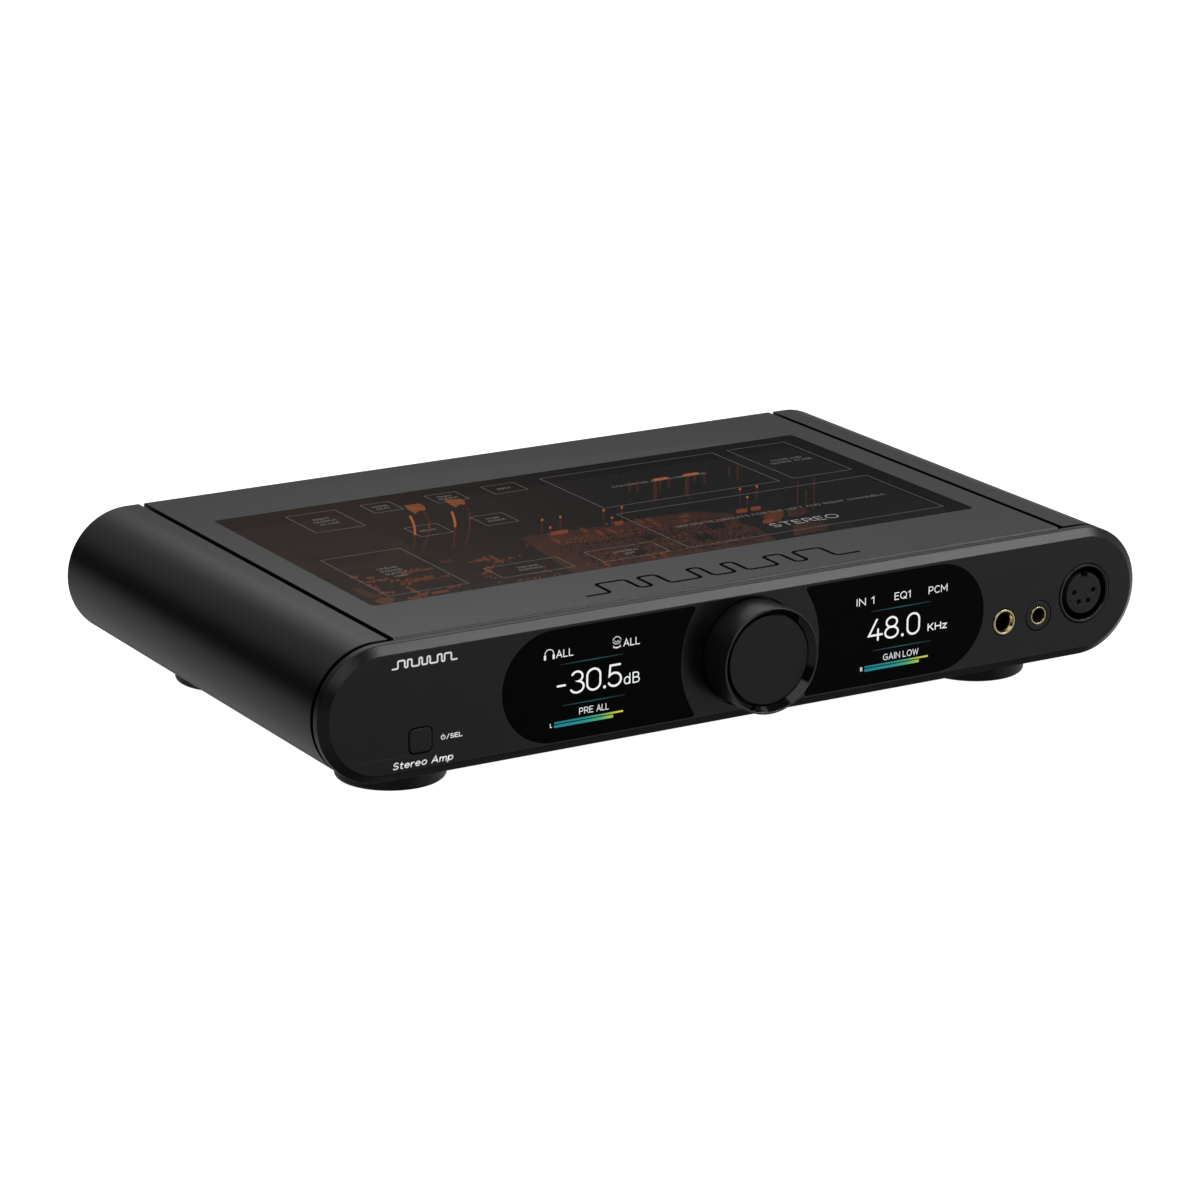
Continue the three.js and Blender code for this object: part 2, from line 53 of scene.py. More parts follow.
# ------------------------------------------------------------------ camera (first, so the framing is fixed)
def make_camera():
    cam = bpy.data.cameras.new("camera")
    ob = bpy.data.objects.new("camera", cam)
    bpy.context.scene.collection.objects.link(ob)
    yaw, pitch, roll = math.radians(31.116), math.radians(16.813), math.radians(0.428)
    d = Vector((math.sin(yaw) * math.cos(pitch), math.cos(yaw) * math.cos(pitch), -math.sin(pitch)))
    r = Vector((math.cos(yaw), -math.sin(yaw), 0))
    u = r.cross(d)
    r2 = r * math.cos(roll) + u * math.sin(roll)
    u2 = u * math.cos(roll) - r * math.sin(roll)
    m = Matrix((r2, u2, -d)).transposed().to_4x4()
    m.translation = Vector((-0.81003, -1.33773, 0.50108))
    ob.matrix_world = m
    cam.sensor_width = 36.0
    cam.lens = 132.606
    cam.clip_start, cam.clip_end = 0.05, 60.0
    cam.dof.use_dof = False
    bpy.context.scene.camera = ob


make_camera()


# ------------------------------------------------------------------ node materials
class Nodes:
    def __init__(self, name):
        self.mat = bpy.data.materials.new(name)
        self.mat.use_nodes = True
        self.nt = self.mat.node_tree
        self.nt.nodes.clear()
        self.out = self.nt.nodes.new("ShaderNodeOutputMaterial")
        self.b = self.nt.nodes.new("ShaderNodeBsdfPrincipled")
        self.nt.links.new(self.b.outputs[0], self.out.inputs[0])
        self.tc = self.nt.nodes.new("ShaderNodeTexCoord")

    def node(self, kind, **kw):
        n = self.nt.nodes.new(kind)
        for k, v in kw.items():
            if k in n.inputs:
                n.inputs[k].default_value = v
            else:
                setattr(n, k, v)
        return n

    def link(self, a, b):
        self.nt.links.new(a, b)

    def set(self, **kw):
        for k, v in kw.items():
            self.b.inputs[k.replace("_", " ")].default_value = v
        return self

    def noise(self, scale, detail=3.0, rough=0.55, coord="Object", stretch=None):
        src = self.tc.outputs[coord]
        if stretch:
            mp = self.node("ShaderNodeMapping")
            mp.inputs["Scale"].default_value = stretch
            self.link(src, mp.inputs[0])
            src = mp.outputs[0]
        n = self.node("ShaderNodeTexNoise", Scale=scale, Detail=detail, Roughness=rough)
        self.link(src, n.inputs["Vector"])
        return n.outputs[0]

    def ramp(self, fac, stops, mode="LINEAR"):
        n = self.node("ShaderNodeValToRGB")
        n.color_ramp.interpolation = mode
        el = n.color_ramp.elements
        while len(el) < len(stops):
            el.new(0.5)
        for e, (p, c) in zip(el, stops):
            e.position = p
            e.color = (c[0], c[1], c[2], 1)
        self.link(fac, n.inputs[0])
        return n.outputs[0]

    def vary(self, fac, socket, a, b, lo=0.0, hi=1.0):
        n = self.node("ShaderNodeMapRange")
        n.inputs["From Min"].default_value = lo
        n.inputs["From Max"].default_value = hi
        n.inputs["To Min"].default_value = a
        n.inputs["To Max"].default_value = b
        self.link(fac, n.inputs["Value"])
        self.link(n.outputs[0], self.b.inputs[socket])

    def tint(self, fac, c0, c1, lo=0.3, hi=0.7, socket="Base Color"):
        self.link(self.ramp(fac, [(lo, c0), (hi, c1)]), self.b.inputs[socket])

    def bump(self, fac, dist, strength=1.0):
        n = self.node("ShaderNodeBump", Strength=strength, Distance=dist)
        self.link(fac, n.inputs["Height"])
        self.link(n.outputs[0], self.b.inputs["Normal"])
        return n


def grey(v):
    return (v, v, v)


def anodised(name, base, rough, bead=0.000004, scale=5200.0, metallic=1.0):
    """Bead-blasted anodised aluminium: metallic, dark dye, fine pitted grain and a slight cloudiness."""
    m = Nodes(name)
    m.set(Metallic=metallic, Roughness=rough)
    cloud = m.noise(26.0, 4.0, 0.5)
    grain = m.noise(scale, 2.0, 0.6)
    m.tint(cloud, tuple(c * 0.965 for c in base), tuple(min(1, c * 1.035) for c in base))
    m.vary(grain, "Roughness", rough - 0.03, rough + 0.03, 0.3, 0.7)
    m.bump(grain, bead, 0.5)
    return m.mat


MAT = {}
MAT["case"] = anodised("anodised_case", (0.0600, 0.0601, 0.0606), 0.29)
MAT["panel"] = anodised("front_panel_anodised", (0.0590, 0.0591, 0.0597), 0.30)
MAT["knob"] = anodised("knob_anodised", (0.0800, 0.0801, 0.0807), 0.33, metallic=0.90)


def knob_disc():
    m = Nodes("knob_disc_matt")
    m.set(Metallic=1.0, Roughness=0.5)
    sep = m.node("ShaderNodeSeparateXYZ")
    m.link(m.tc.outputs["Object"], sep.inputs[0])
    dz = m.node("ShaderNodeMath", operation="SUBTRACT")
    m.link(sep.outputs[2], dz.inputs[0])
    dz.inputs[1].default_value = (24.4 + FOOT_H) / 1000
    com = m.node("ShaderNodeCombineXYZ")
    m.link(sep.outputs[0], com.inputs[0])
    m.link(dz.outputs[0], com.inputs[1])
    ln = m.node("ShaderNodeVectorMath", operation="LENGTH")
    m.link(com.outputs[0], ln.inputs[0])
    w = m.node("ShaderNodeMath", operation="MULTIPLY")
    m.link(ln.outputs["Value"], w.inputs[0])
    w.inputs[1].default_value = 2 * math.pi / 0.00016
    s = m.node("ShaderNodeMath", operation="SINE")
    m.link(w.outputs[0], s.inputs[0])
    grain = m.noise(5200, 2.0)
    mix = m.node("ShaderNodeMath", operation="ADD")
    m.link(s.outputs[0], mix.inputs[0])
    m.link(grain, mix.inputs[1])
    m.bump(mix.outputs[0], 0.0000012, 0.5)
    m.tint(m.noise(60, 3.0), (0.058, 0.0581, 0.0586), (0.064, 0.0641, 0.0647))
    return m.mat


MAT["disc"] = knob_disc()


def polished():
    m = Nodes("knob_rim_polished")
    m.set(Metallic=1.0)
    m.tint(m.noise(40, 3.0), (0.066, 0.067, 0.069), (0.076, 0.077, 0.079))
    m.vary(m.noise(900, 2.0), "Roughness", 0.025, 0.05, 0.3, 0.7)
    return m.mat


MAT["rim"] = polished()
MAT["lip"] = anodised("knob_lip_turned", (0.098, 0.0982, 0.0990), 0.30)


def dielectric(name, c0, c1, rough, spec=0.5, scale=900.0, bump=0.00001, coat=0.0, cloud=30.0):
    m = Nodes(name)
    m.set(Roughness=rough)
    m.b.inputs["Specular IOR Level"].default_value = spec
    m.tint(m.noise(cloud, 4.0), c0, c1)
    g = m.noise(scale, 3.0)
    m.vary(g, "Roughness", max(0.02, rough - 0.05), min(1, rough + 0.05), 0.3, 0.7)
    if bump:
        m.bump(g, bump, 0.6)
    if coat:
        m.b.inputs["Coat Weight"].default_value = coat
        m.b.inputs["Coat Roughness"].default_value = 0.08
    return m.mat


MAT["lens"] = dielectric("display_glass", (0.0022, 0.0022, 0.0023), (0.0028, 0.0028, 0.0029), 0.10, 0.050, 300, 0)
MAT["plastic"] = dielectric("black_plastic", (0.010, 0.010, 0.0105), (0.016, 0.016, 0.0165), 0.42, 0.4, 2600, 0.000006)
MAT["plastic_grey"] = dielectric("socket_plastic", (0.026, 0.026, 0.027), (0.034, 0.034, 0.035), 0.5, 0.35, 2600, 0.000006)
MAT["rubber"] = dielectric("rubber_black", (0.004, 0.004, 0.004), (0.008, 0.008, 0.008), 0.72, 0.18, 1700, 0.00002)
MAT["joint"] = dielectric("joint_black", (0.0012, 0.0012, 0.0012), (0.002, 0.002, 0.002), 0.85, 0.05, 1700, 0.00001)
MAT["steel_black"] = dielectric("steel_black", (0.018, 0.018, 0.019), (0.027, 0.027, 0.028), 0.34, 0.5, 1800, 0.000006)
MAT["beige"] = dielectric("natural_plastic", (0.50, 0.45, 0.37), (0.58, 0.53, 0.45), 0.45, 0.4, 1200, 0.00001)
MAT["white_ring"] = dielectric("ring_white", (0.62, 0.62, 0.60), (0.72, 0.72, 0.70), 0.4, 0.4, 900, 0.000006)
MAT["red_ring"] = dielectric("ring_red", (0.42, 0.018, 0.014), (0.52, 0.028, 0.02), 0.4, 0.4, 900, 0.000006)
MAT["orange_ring"] = dielectric("ring_orange", (0.62, 0.2, 0.02), (0.7, 0.26, 0.03), 0.4, 0.4, 900, 0.000006)


def metal(name, c0, c1, rough, scale=700.0, bump=0.000004, stretch=None):
    m = Nodes(name)
    m.set(Metallic=1.0, Roughness=rough)
    m.tint(m.noise(45, 4.0), c0, c1)
    g = m.noise(scale, 3.0, stretch=stretch)
    m.vary(g, "Roughness", max(0.03, rough - 0.06), rough + 0.06, 0.3, 0.7)
    m.bump(g, bump, 0.5)
    return m.mat


MAT["gold"] = metal("gold_plate", (0.96, 0.80, 0.40), (1.0, 0.88, 0.50), 0.13, 900, 0.000002)
MAT["nickel"] = metal("nickel_plate", (0.50, 0.49, 0.47), (0.60, 0.59, 0.57), 0.2, 900, 0.000002)
MAT["steel"] = metal("steel_plain", (0.40, 0.40, 0.40), (0.52, 0.52, 0.52), 0.32, 700, 0.000004)
MAT["tinned"] = metal("tinned_steel", (0.30, 0.30, 0.30), (0.38, 0.38, 0.38), 0.38, 260, 0.00001)
MAT["shell_dark"] = metal("connector_shell_black", (0.062, 0.062, 0.064), (0.080, 0.080, 0.082), 0.24, 2400, 0.000003)
MAT["heatsink"] = anodised("heatsink_black", (0.030, 0.030, 0.031), 0.42)


def smoked():
    m = Nodes("smoked_glass")
    m.set(Roughness=0.07, Alpha=0.44)
    m.b.inputs["Specular IOR Level"].default_value = 0.10
    m.tint(m.noise(9.0, 2.0), (0.0040, 0.0034, 0.0032), (0.0052, 0.0045, 0.0041))
    m.vary(m.noise(14.0, 2.0), "Roughness", 0.055, 0.085, 0.3, 0.7)
    # painted glow: a faint warm emission that grows towards the left end of the glass, standing in for light from
    # inside
    sep = m.node("ShaderNodeSeparateXYZ")
    m.link(m.tc.outputs["Object"], sep.inputs[0])
    mr = m.node("ShaderNodeMapRange")
    mr.interpolation_type = "SMOOTHSTEP"
    for k, v in (("From Min", 0.05), ("From Max", -0.10), ("To Min", 0.0), ("To Max", 1.0)):
        mr.inputs[k].default_value = v
    m.link(sep.outputs[0], mr.inputs["Value"])
    m.b.inputs["Emission Color"].default_value = (0.023, 0.0140, 0.0105, 1)
    m.link(mr.outputs[0], m.b.inputs["Emission Strength"])
    return m.mat


MAT["smoked"] = smoked()


def board(name, glow=(0, 0, 0), strength=0.0, base0=(0.006, 0.006, 0.006), base1=(0.011, 0.010, 0.009)):
    """Black solder mask over copper tracks: the tracks stand a little proud; a strength above zero adds a painted warm
    glow over patches of it.
    """
    m = Nodes(name)
    m.set(Roughness=0.5)
    m.b.inputs["Specular IOR Level"].default_value = 0.10
    sep = m.node("ShaderNodeSeparateXYZ")
    m.link(m.tc.outputs["Object"], sep.inputs[0])
    br = m.node("ShaderNodeTexBrick")
    br.inputs["Scale"].default_value = 120.0
    br.inputs["Mortar Size"].default_value = 0.035
    br.inputs["Color1"].default_value = (1, 1, 1, 1)
    br.inputs["Color2"].default_value = (0.7, 0.7, 0.7, 1)
    br.inputs["Mortar"].default_value = (0, 0, 0, 1)
    m.link(m.tc.outputs["Object"], br.inputs["Vector"])
    n = m.noise(190.0, 3.0)
    mul = m.node("ShaderNodeMath", operation="MULTIPLY")
    m.link(br.outputs["Fac"], mul.inputs[0])
    m.link(n, mul.inputs[1])
    m.tint(mul.outputs[0], base0, base1, 0.1, 0.6)
    m.bump(mul.outputs[0], 0.00003, 0.5)
    # painted glow: warm emission in patches, not light from any lamp
    if strength:
        patch = m.noise(26.0, 2.0, 0.4)
        fine = m.noise(420.0, 2.0, 0.7)
        mm = m.node("ShaderNodeMath", operation="MULTIPLY")
        m.link(m.ramp(patch, [(0.40, grey(0)), (0.60, grey(1))]), mm.inputs[0])
        m.link(m.ramp(fine, [(0.35, grey(0.35)), (0.65, grey(1))]), mm.inputs[1])
        mix = m.node("ShaderNodeMath", operation="MULTIPLY")
        m.link(mm.outputs[0], mix.inputs[0])
        mix.inputs[1].default_value = strength
        m.b.inputs["Emission Color"].default_value = (*glow, 1)
        m.link(mix.outputs[0], m.b.inputs["Emission Strength"])
    return m.mat


MAT["board"] = board("circuit_board_black")


def glow_painted(name, color, strength, rough=0.35, metallic=0.6, base=None, scale=500.0, low=0.55):
    """A copper part: its own colour plus a weak painted warm glow (emission) that varies over it, standing in for light
    falling on it.
    """
    m = Nodes(name)
    base = base or tuple(min(1, c * 0.55 + 0.02) for c in color)
    m.set(Metallic=metallic, Roughness=rough)
    n = m.noise(scale, 2.0)
    m.tint(n, tuple(c * 0.8 for c in base), base)
    m.b.inputs["Emission Color"].default_value = (*color, 1)
    m.vary(n, "Emission Strength", strength * low, strength, 0.3, 0.7)
    return m.mat


# Copper parts inside, each with a painted warm glow: the bright, plain and dim copies are painted lit and shaded
# versions of one copper
MAT["ember"] = glow_painted("copper_painted_glow_bright", (1.0, 0.25, 0.04), 1.15, low=0.75)
MAT["copper_bar"] = glow_painted("copper_link_painted_glow", (0.66, 0.130, 0.028), 0.76, low=0.7)
MAT["copper_cap"] = glow_painted("copper_cap_painted_glow", (0.80, 0.20, 0.040), 0.78, low=0.6)
MAT["copper_painted_glow"] = glow_painted("copper_painted_glow", (0.46, 0.100, 0.024), 0.66, base=(0.20, 0.06, 0.02))
MAT["copper_painted_glow_dim"] = glow_painted("copper_painted_glow_dim", (0.135, 0.024, 0.005), 1.0, base=(0.06, 0.02, 0.01))
MAT["pour"] = glow_painted("painted_glow_pour", (0.118, 0.027, 0.010), 1.0, 0.5, 0.3, (0.03, 0.012, 0.006), 330.0, 0.35)
MAT["pour_bright"] = glow_painted("painted_glow_pour_bright", (0.24, 0.050, 0.014), 1.0, 0.5, 0.3, (0.05, 0.02, 0.008), 200.0, 0.6)
MAT["winding"] = glow_painted("copper_winding", (0.32, 0.10, 0.03), 0.010, 0.45, 0.3, (0.040, 0.016, 0.007), 900.0)
MAT["chip"] = dielectric("chip_black", (0.006, 0.006, 0.006), (0.010, 0.010, 0.010), 0.5, 0.12, 1400, 0.00001)
MAT["can"] = dielectric("capacitor_sleeve", (0.008, 0.0075, 0.0075), (0.013, 0.012, 0.011), 0.42, 0.15, 500, 0.000006)
MAT["clamp"] = dielectric("clamp_black", (0.006, 0.006, 0.006), (0.010, 0.010, 0.010), 0.55, 0.10, 1400, 0.00001)


def emitter(name, color, strength, base=None, speck=0.06):
    m = Nodes(name)
    base = base or tuple(c * 0.1 for c in color)
    m.set(Roughness=0.3)
    n = m.noise(800, 2.0)
    m.tint(n, base, tuple(min(1, c * 1.1) for c in base))
    m.b.inputs["Emission Color"].default_value = (*color, 1)
    m.vary(n, "Emission Strength", strength * (1 - speck), strength, 0.3, 0.7)
    return m.mat


MAT["glyph"] = emitter("readout_white", (0.93, 0.95, 0.96), 0.92)
MAT["glyph_small"] = emitter("readout_white_small", (0.93, 0.95, 0.96), 0.85)


def gradient(name, x0, x1, stops, strength=1.0, spread=None):
    """A colour that runs along x, between two places on the object."""
    m = Nodes(name)
    m.set(Roughness=0.4)
    sep = m.node("ShaderNodeSeparateXYZ")
    m.link(m.tc.outputs["Object"], sep.inputs[0])
    mr = m.node("ShaderNodeMapRange")
    mr.inputs["From Min"].default_value = x0 / 1000
    mr.inputs["From Max"].default_value = x1 / 1000
    m.link(sep.outputs[0], mr.inputs["Value"])
    col = m.ramp(mr.outputs[0], stops)
    m.link(col, m.b.inputs["Emission Color"])
    m.vary(m.noise(600, 2.0), "Emission Strength", strength * 0.94, strength, 0.3, 0.7)
    m.b.inputs["Base Color"].default_value = (0.004, 0.006, 0.006, 1)
    return m.mat


TEAL = (0.0, 0.165, 0.200)
BAR = [(0.0, (0.004, 0.20, 0.26)), (0.45, (0.010, 0.26, 0.26)), (0.68, (0.07, 0.38, 0.16)), (0.86, (0.42, 0.54, 0.06)), (1.0, (0.74, 0.66, 0.07))]
LINE = [(0.0, grey(0.0022)), (0.12, (0.001, 0.02, 0.024)), (0.5, (0.002, 0.085, 0.10)), (0.88, (0.001, 0.02, 0.024)), (1.0, grey(0.0022))]
MAT["bar_left"] = gradient("level_bar_left", -79.9, -52.2, BAR)
MAT["bar_right"] = gradient("level_bar_right", 48.6, 76.3, BAR)
MAT["line_left"] = gradient("divider_left", -77.5, -51.6, LINE)
MAT["line_right"] = gradient("divider_right", 51.0, 77.4, LINE)


def ink(name, c0, c1, rough=0.6, emit=0.0):
    m = Nodes(name)
    m.set(Roughness=rough)
    n = m.noise(1500, 3.0)
    m.tint(n, c0, c1)
    # painted glow: emission that makes the print brighter than its lighting gives
    if emit:
        m.b.inputs["Emission Color"].default_value = (*c1, 1)
        m.vary(n, "Emission Strength", emit * 0.8, emit, 0.3, 0.7)
    m.b.inputs["Specular IOR Level"].default_value = 0.2
    return m.mat


MAT["print"] = ink("panel_print_light", (0.62, 0.62, 0.63), (0.74, 0.74, 0.75), 0.6, 0.62)
MAT["window_print"] = ink("window_print_grey", (0.130, 0.128, 0.126), (0.170, 0.168, 0.165), 0.6, 0.30)
MAT["window_mark"] = ink("window_mark_light", (0.34, 0.34, 0.35), (0.44, 0.44, 0.45), 0.55, 0.20)
MAT["engrave"] = dielectric("engraving_floor", (0.0040, 0.0040, 0.0042), (0.0065, 0.0065, 0.0068), 0.7, 0.15, 3000, 0.000006)


# ------------------------------------------------------------------ outlines
def arc(cx, cy, r, a0, a1, n):
    return [(cx + r * math.cos(math.radians(a0 + (a1 - a0) * i / n)), cy + r * math.sin(math.radians(a0 + (a1 - a0) * i / n))) for i in range(n + 1)]


def circle(cx, cy, r, n=48, start=0.0):
    return [(cx + r * math.cos(2 * math.pi * i / n + start), cy + r * math.sin(2 * math.pi * i / n + start)) for i in range(n)]


def rrect(x0, y0, x1, y1, r, n=6):
    r = max(0.0001, min(r, (x1 - x0) / 2 - 1e-4, (y1 - y0) / 2 - 1e-4))
    return (arc(x1 - r, y0 + r, r, -90, 0, n) + arc(x1 - r, y1 - r, r, 0, 90, n)
            + arc(x0 + r, y1 - r, r, 90, 180, n) + arc(x0 + r, y0 + r, r, 180, 270, n))


def rr(x0, y0, x1, y1, r, g=0.0, n=6):
    """A rounded rectangle grown by g all round."""
    return rrect(x0 - g, y0 - g, x1 + g, y1 + g, max(0.02, r + g), n)


def stadium(inset, n=40):
    r = RAD - inset
    return arc(HALF, RAD, r, -90, 90, n) + arc(-HALF, RAD, r, 90, 270, n)


def display_outline(inset, f, right=False):
    r, R, cx, cz = 20.2 - inset, 34.3 + inset, 5.4, 24.2
    px = cx - math.sqrt((R + f) ** 2 - (r - f) ** 2)
    tl = math.degrees(math.atan2(-(r - f), px - cx))      # direction to the lower fillet, from the concave arc's centre
    low = (px, cz - r + f)
    a_end = math.degrees(math.atan2(cz - low[1], cx - low[0]))
    pts = arc(-80.2, cz, r, 90, 270, 40)
    pts += arc(low[0], low[1], f, 270, 360 + a_end, 8)
    ang = 180 + a_end
    pts += arc(cx, cz, R, ang, 360 - ang, 30)[1:-1]
    up = (px, cz + r - f)
    pts += arc(up[0], up[1], f, -a_end, 90, 8)
    if right:
        pts = [(-x, z) for x, z in reversed(pts)]
    return pts


def offset_poly(pts, d):
    """Moves a closed outline inward by d along its corners' bisectors."""
    n = len(pts)
    area = sum(pts[i][0] * pts[(i + 1) % n][1] - pts[(i + 1) % n][0] * pts[i][1] for i in range(n))
    s = 1 if area > 0 else -1
    out = []
    for i in range(n):
        p0, p1, p2 = pts[i - 1], pts[i], pts[(i + 1) % n]
        e1 = Vector((p1[0] - p0[0], p1[1] - p0[1]))
        e2 = Vector((p2[0] - p1[0], p2[1] - p1[1]))
        if e1.length < 1e-9 or e2.length < 1e-9:
            e1 = e2 = e1 if e1.length > e2.length else e2
        e1.normalize()
        e2.normalize()
        n1 = Vector((-e1.y, e1.x)) * s
        n2 = Vector((-e2.y, e2.x)) * s
        b = n1 + n2
        k = b.length
        if k < 1e-6:
            b, c = n1, 1
        else:
            b /= k
            c = max(0.45, b.dot(n1))
        out.append((p1[0] + b.x * d / c, p1[1] + b.y * d / c))
    return out


# ------------------------------------------------------------------ mesh making
def XZ(u, v, h):          # outline in x, z; depth along y
    return (u, h, v)


def XY(u, v, h):          # outline in x, y; height along z
    return (u, v, h)


class Geo:
    def __init__(self):
        self.v, self.f, self.m = [], [], []

    def loop(self, pts, h, ax):
        k = len(self.v)
        self.v += [ax(p[0], p[1], h) for p in pts]
        return list(range(k, k + len(pts)))

    def bridge(self, a, b, m=0):
        n = len(a)
        for i in range(n):
            j = (i + 1) % n
            self.f.append((a[i], a[j], b[j], b[i]))
            self.m.append(m)

    def cap(self, loops, m=0):
        flat = [i for lp in loops for i in lp]
        polys = [[Vector(self.v[i]) for i in lp] for lp in loops]
        if len(loops) == 1 and len(flat) <= 4:
            self.f.append(tuple(flat))
            self.m.append(m)
            return
        for t in tessellate_polygon(polys):
            self.f.append((flat[t[0]], flat[t[1]], flat[t[2]]))
            self.m.append(m)

    def walls(self, loops, m=0):
        for a, b in zip(loops, loops[1:]):
            self.bridge(a, b, m)

    def prism(self, pts, h0, h1, ax=XZ, m=0, edge=0.0, both=False, mcap=None):
        """A closed slab of an outline, with a small rounded edge at h0 and, if asked, at h1."""
        s = 1 if h1 > h0 else -1
        lv = []
        if edge:
            lv += [(h0, edge), (h0 + s * edge * 0.3, edge * 0.3), (h0 + s * edge, 0.0)]
        else:
            lv += [(h0, 0.0)]
        if both and edge:
            lv += [(h1 - s * edge, 0.0), (h1 - s * edge * 0.3, edge * 0.3), (h1, edge)]
        else:
            lv += [(h1, 0.0)]
        loops = [self.loop(offset_poly(pts, i) if i else pts, h, ax) for h, i in lv]
        self.walls(loops, m)
        self.cap([loops[0]], m if mcap is None else mcap)
        self.cap([loops[-1]], m if mcap is None else mcap)

    def lathe(self, prof, cx, cz, n=64, m=0, mats=None, axis="Y", closed=False):
        """Turns a profile of (radius, distance) about the axis through (cx, cz)."""
        rings = []
        for r, h in prof:
            k = len(self.v)
            if r < 1e-6:
                self.v.append((cx, h, cz) if axis == "Y" else (cx, cz, h))
                rings.append([k])
            else:
                for i in range(n):
                    a = 2 * math.pi * i / n
                    u, w = cx + r * math.cos(a), cz + r * math.sin(a)
                    self.v.append((u, h, w) if axis == "Y" else (u, w, h))
                rings.append(list(range(k, k + n)))
        seg = list(zip(rings, rings[1:]))
        if closed:
            seg.append((rings[-1], rings[0]))
        for q, (a, b) in enumerate(seg):
            mm = mats[q] if mats else m
            if len(a) == 1 and len(b) == 1:
                continue
            for i in range(n):
                j = (i + 1) % n
                if len(a) == 1:
                    self.f.append((a[0], b[j], b[i]))
                elif len(b) == 1:
                    self.f.append((a[i], a[j], b[0]))
                else:
                    self.f.append((a[i], a[j], b[j], b[i]))
                self.m.append(mm)

    def box(self, x0, y0, z0, x1, y1, z1, m=0, edge=0.0):
        if edge:
            self.prism([(x0, y0), (x1, y0), (x1, y1), (x0, y1)], z1, z0, XY, m, edge)
        else:
            self.prism([(x0, y0), (x1, y0), (x1, y1), (x0, y1)], z1, z0, XY, m)

    def stroke(self, pts, w, h0, h1, ax=XZ, closed=False, m=0, round_ends=True):
        """A flat ribbon of width w along a line, as a closed thin solid."""
        pts = [Vector(p) for p in pts]
        q = [pts[0]]
        for p in pts[1:]:
            if (p - q[-1]).length > 1e-6:
                q.append(p)
        if closed and (q[0] - q[-1]).length < 1e-6:
            q.pop()
        pts = q
        n = len(pts)
        if n < 2:
            return
        L, R = [], []
        for i in range(n):
            a = pts[i - 1] if (i > 0 or closed) else None
            b = pts[(i + 1) % n] if (i < n - 1 or closed) else None
            d1 = (pts[i] - a).normalized() if a is not None else None
            d2 = (b - pts[i]).normalized() if b is not None else None
            if d1 is None:
                d1 = d2
            if d2 is None:
                d2 = d1
            n1, n2 = Vector((-d1.y, d1.x)), Vector((-d2.y, d2.x))
            bb = n1 + n2
            bb = n1 if bb.length < 1e-6 else bb.normalized()
            c = max(0.42, bb.dot(n1))
            o = bb * (w / 2 / c)
            L.append(pts[i] + o)
            R.append(pts[i] - o)
        if closed:
            A = [self.loop(L, h0, ax), self.loop(R, h0, ax), self.loop(R, h1, ax), self.loop(L, h1, ax)]
            for k in range(4):
                self.bridge(A[k], A[(k + 1) % 4], m)
            return
        outline = list(L)
        k = 5 if round_ends else 0
        dend = (pts[-1] - pts[-2]).normalized()
        dst = (pts[0] - pts[1]).normalized()

        def capend(c, d, side):
            out = []
            nrm = Vector((-d.y, d.x))
            for t in range(1, k):
                a = math.pi * t / k
                out.append(c + (nrm * math.cos(a) * side + d * math.sin(a)) * (w / 2))
            return out
        ends = capend(pts[-1], dend, 1)
        starts = capend(pts[0], dst, 1)
        for h in (h0, h1):
            pass
        for hh in (0, 1):
            h = h0 if hh == 0 else h1
            iL, iR = self.loop(L, h, ax), self.loop(R, h, ax)
            iE, iS = self.loop(ends, h, ax), self.loop(starts, h, ax)
            for i in range(n - 1):
                self.f.append((iL[i], iL[i + 1], iR[i + 1], iR[i]))
                self.m.append(m)
            if iE:
                self.f.append(tuple([iL[-1]] + iE + [iR[-1]]))
                self.m.append(m)
                self.f.append(tuple([iR[0]] + iS + [iL[0]]))
                self.m.append(m)
            ring = iL + iE + list(reversed(iR)) + iS
            if hh == 0:
                first = ring
            else:
                self.bridge(first, ring, m)


def finish_obj(name, geo, mats, body="chassis", replaces=(), angle=35, weighted=True, recalc=True):
    me = bpy.data.meshes.new(name)
    me.from_pydata([W(*p) for p in geo.v], [], geo.f)
    for mt in mats:
        me.materials.append(MAT[mt])
    if len(mats) > 1:
        me.polygons.foreach_set("material_index", geo.m)
    me.validate()
    if recalc:
        bm = bmesh.new()
        bm.from_mesh(me)
        bmesh.ops.remove_doubles(bm, verts=bm.verts, dist=1e-7)
        bmesh.ops.recalc_face_normals(bm, faces=bm.faces)
        bm.to_mesh(me)
        bm.free()
    me.polygons.foreach_set("use_smooth", [True] * len(me.polygons))
    me.set_sharp_from_angle(angle=math.radians(angle))
    ob = bpy.data.objects.new(name, me)
    bpy.context.scene.collection.objects.link(ob)
    if weighted:
        w = ob.modifiers.new("weighted", "WEIGHTED_NORMAL")
        w.keep_sharp = True
        w.mode = "FACE_AREA_WITH_ANGLE"
    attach(ob, body)
    if replaces:
        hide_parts(*replaces)
    return ob


# ------------------------------------------------------------------ stroke font (monoline, rounded, drawn here)
def G(cx, cy, rx, ry, a0, a1, n=14):
    return [(cx + rx * math.cos(math.radians(a0 + (a1 - a0) * i / n)), cy + ry * math.sin(math.radians(a0 + (a1 - a0) * i / n))) for i in range(n + 1)]


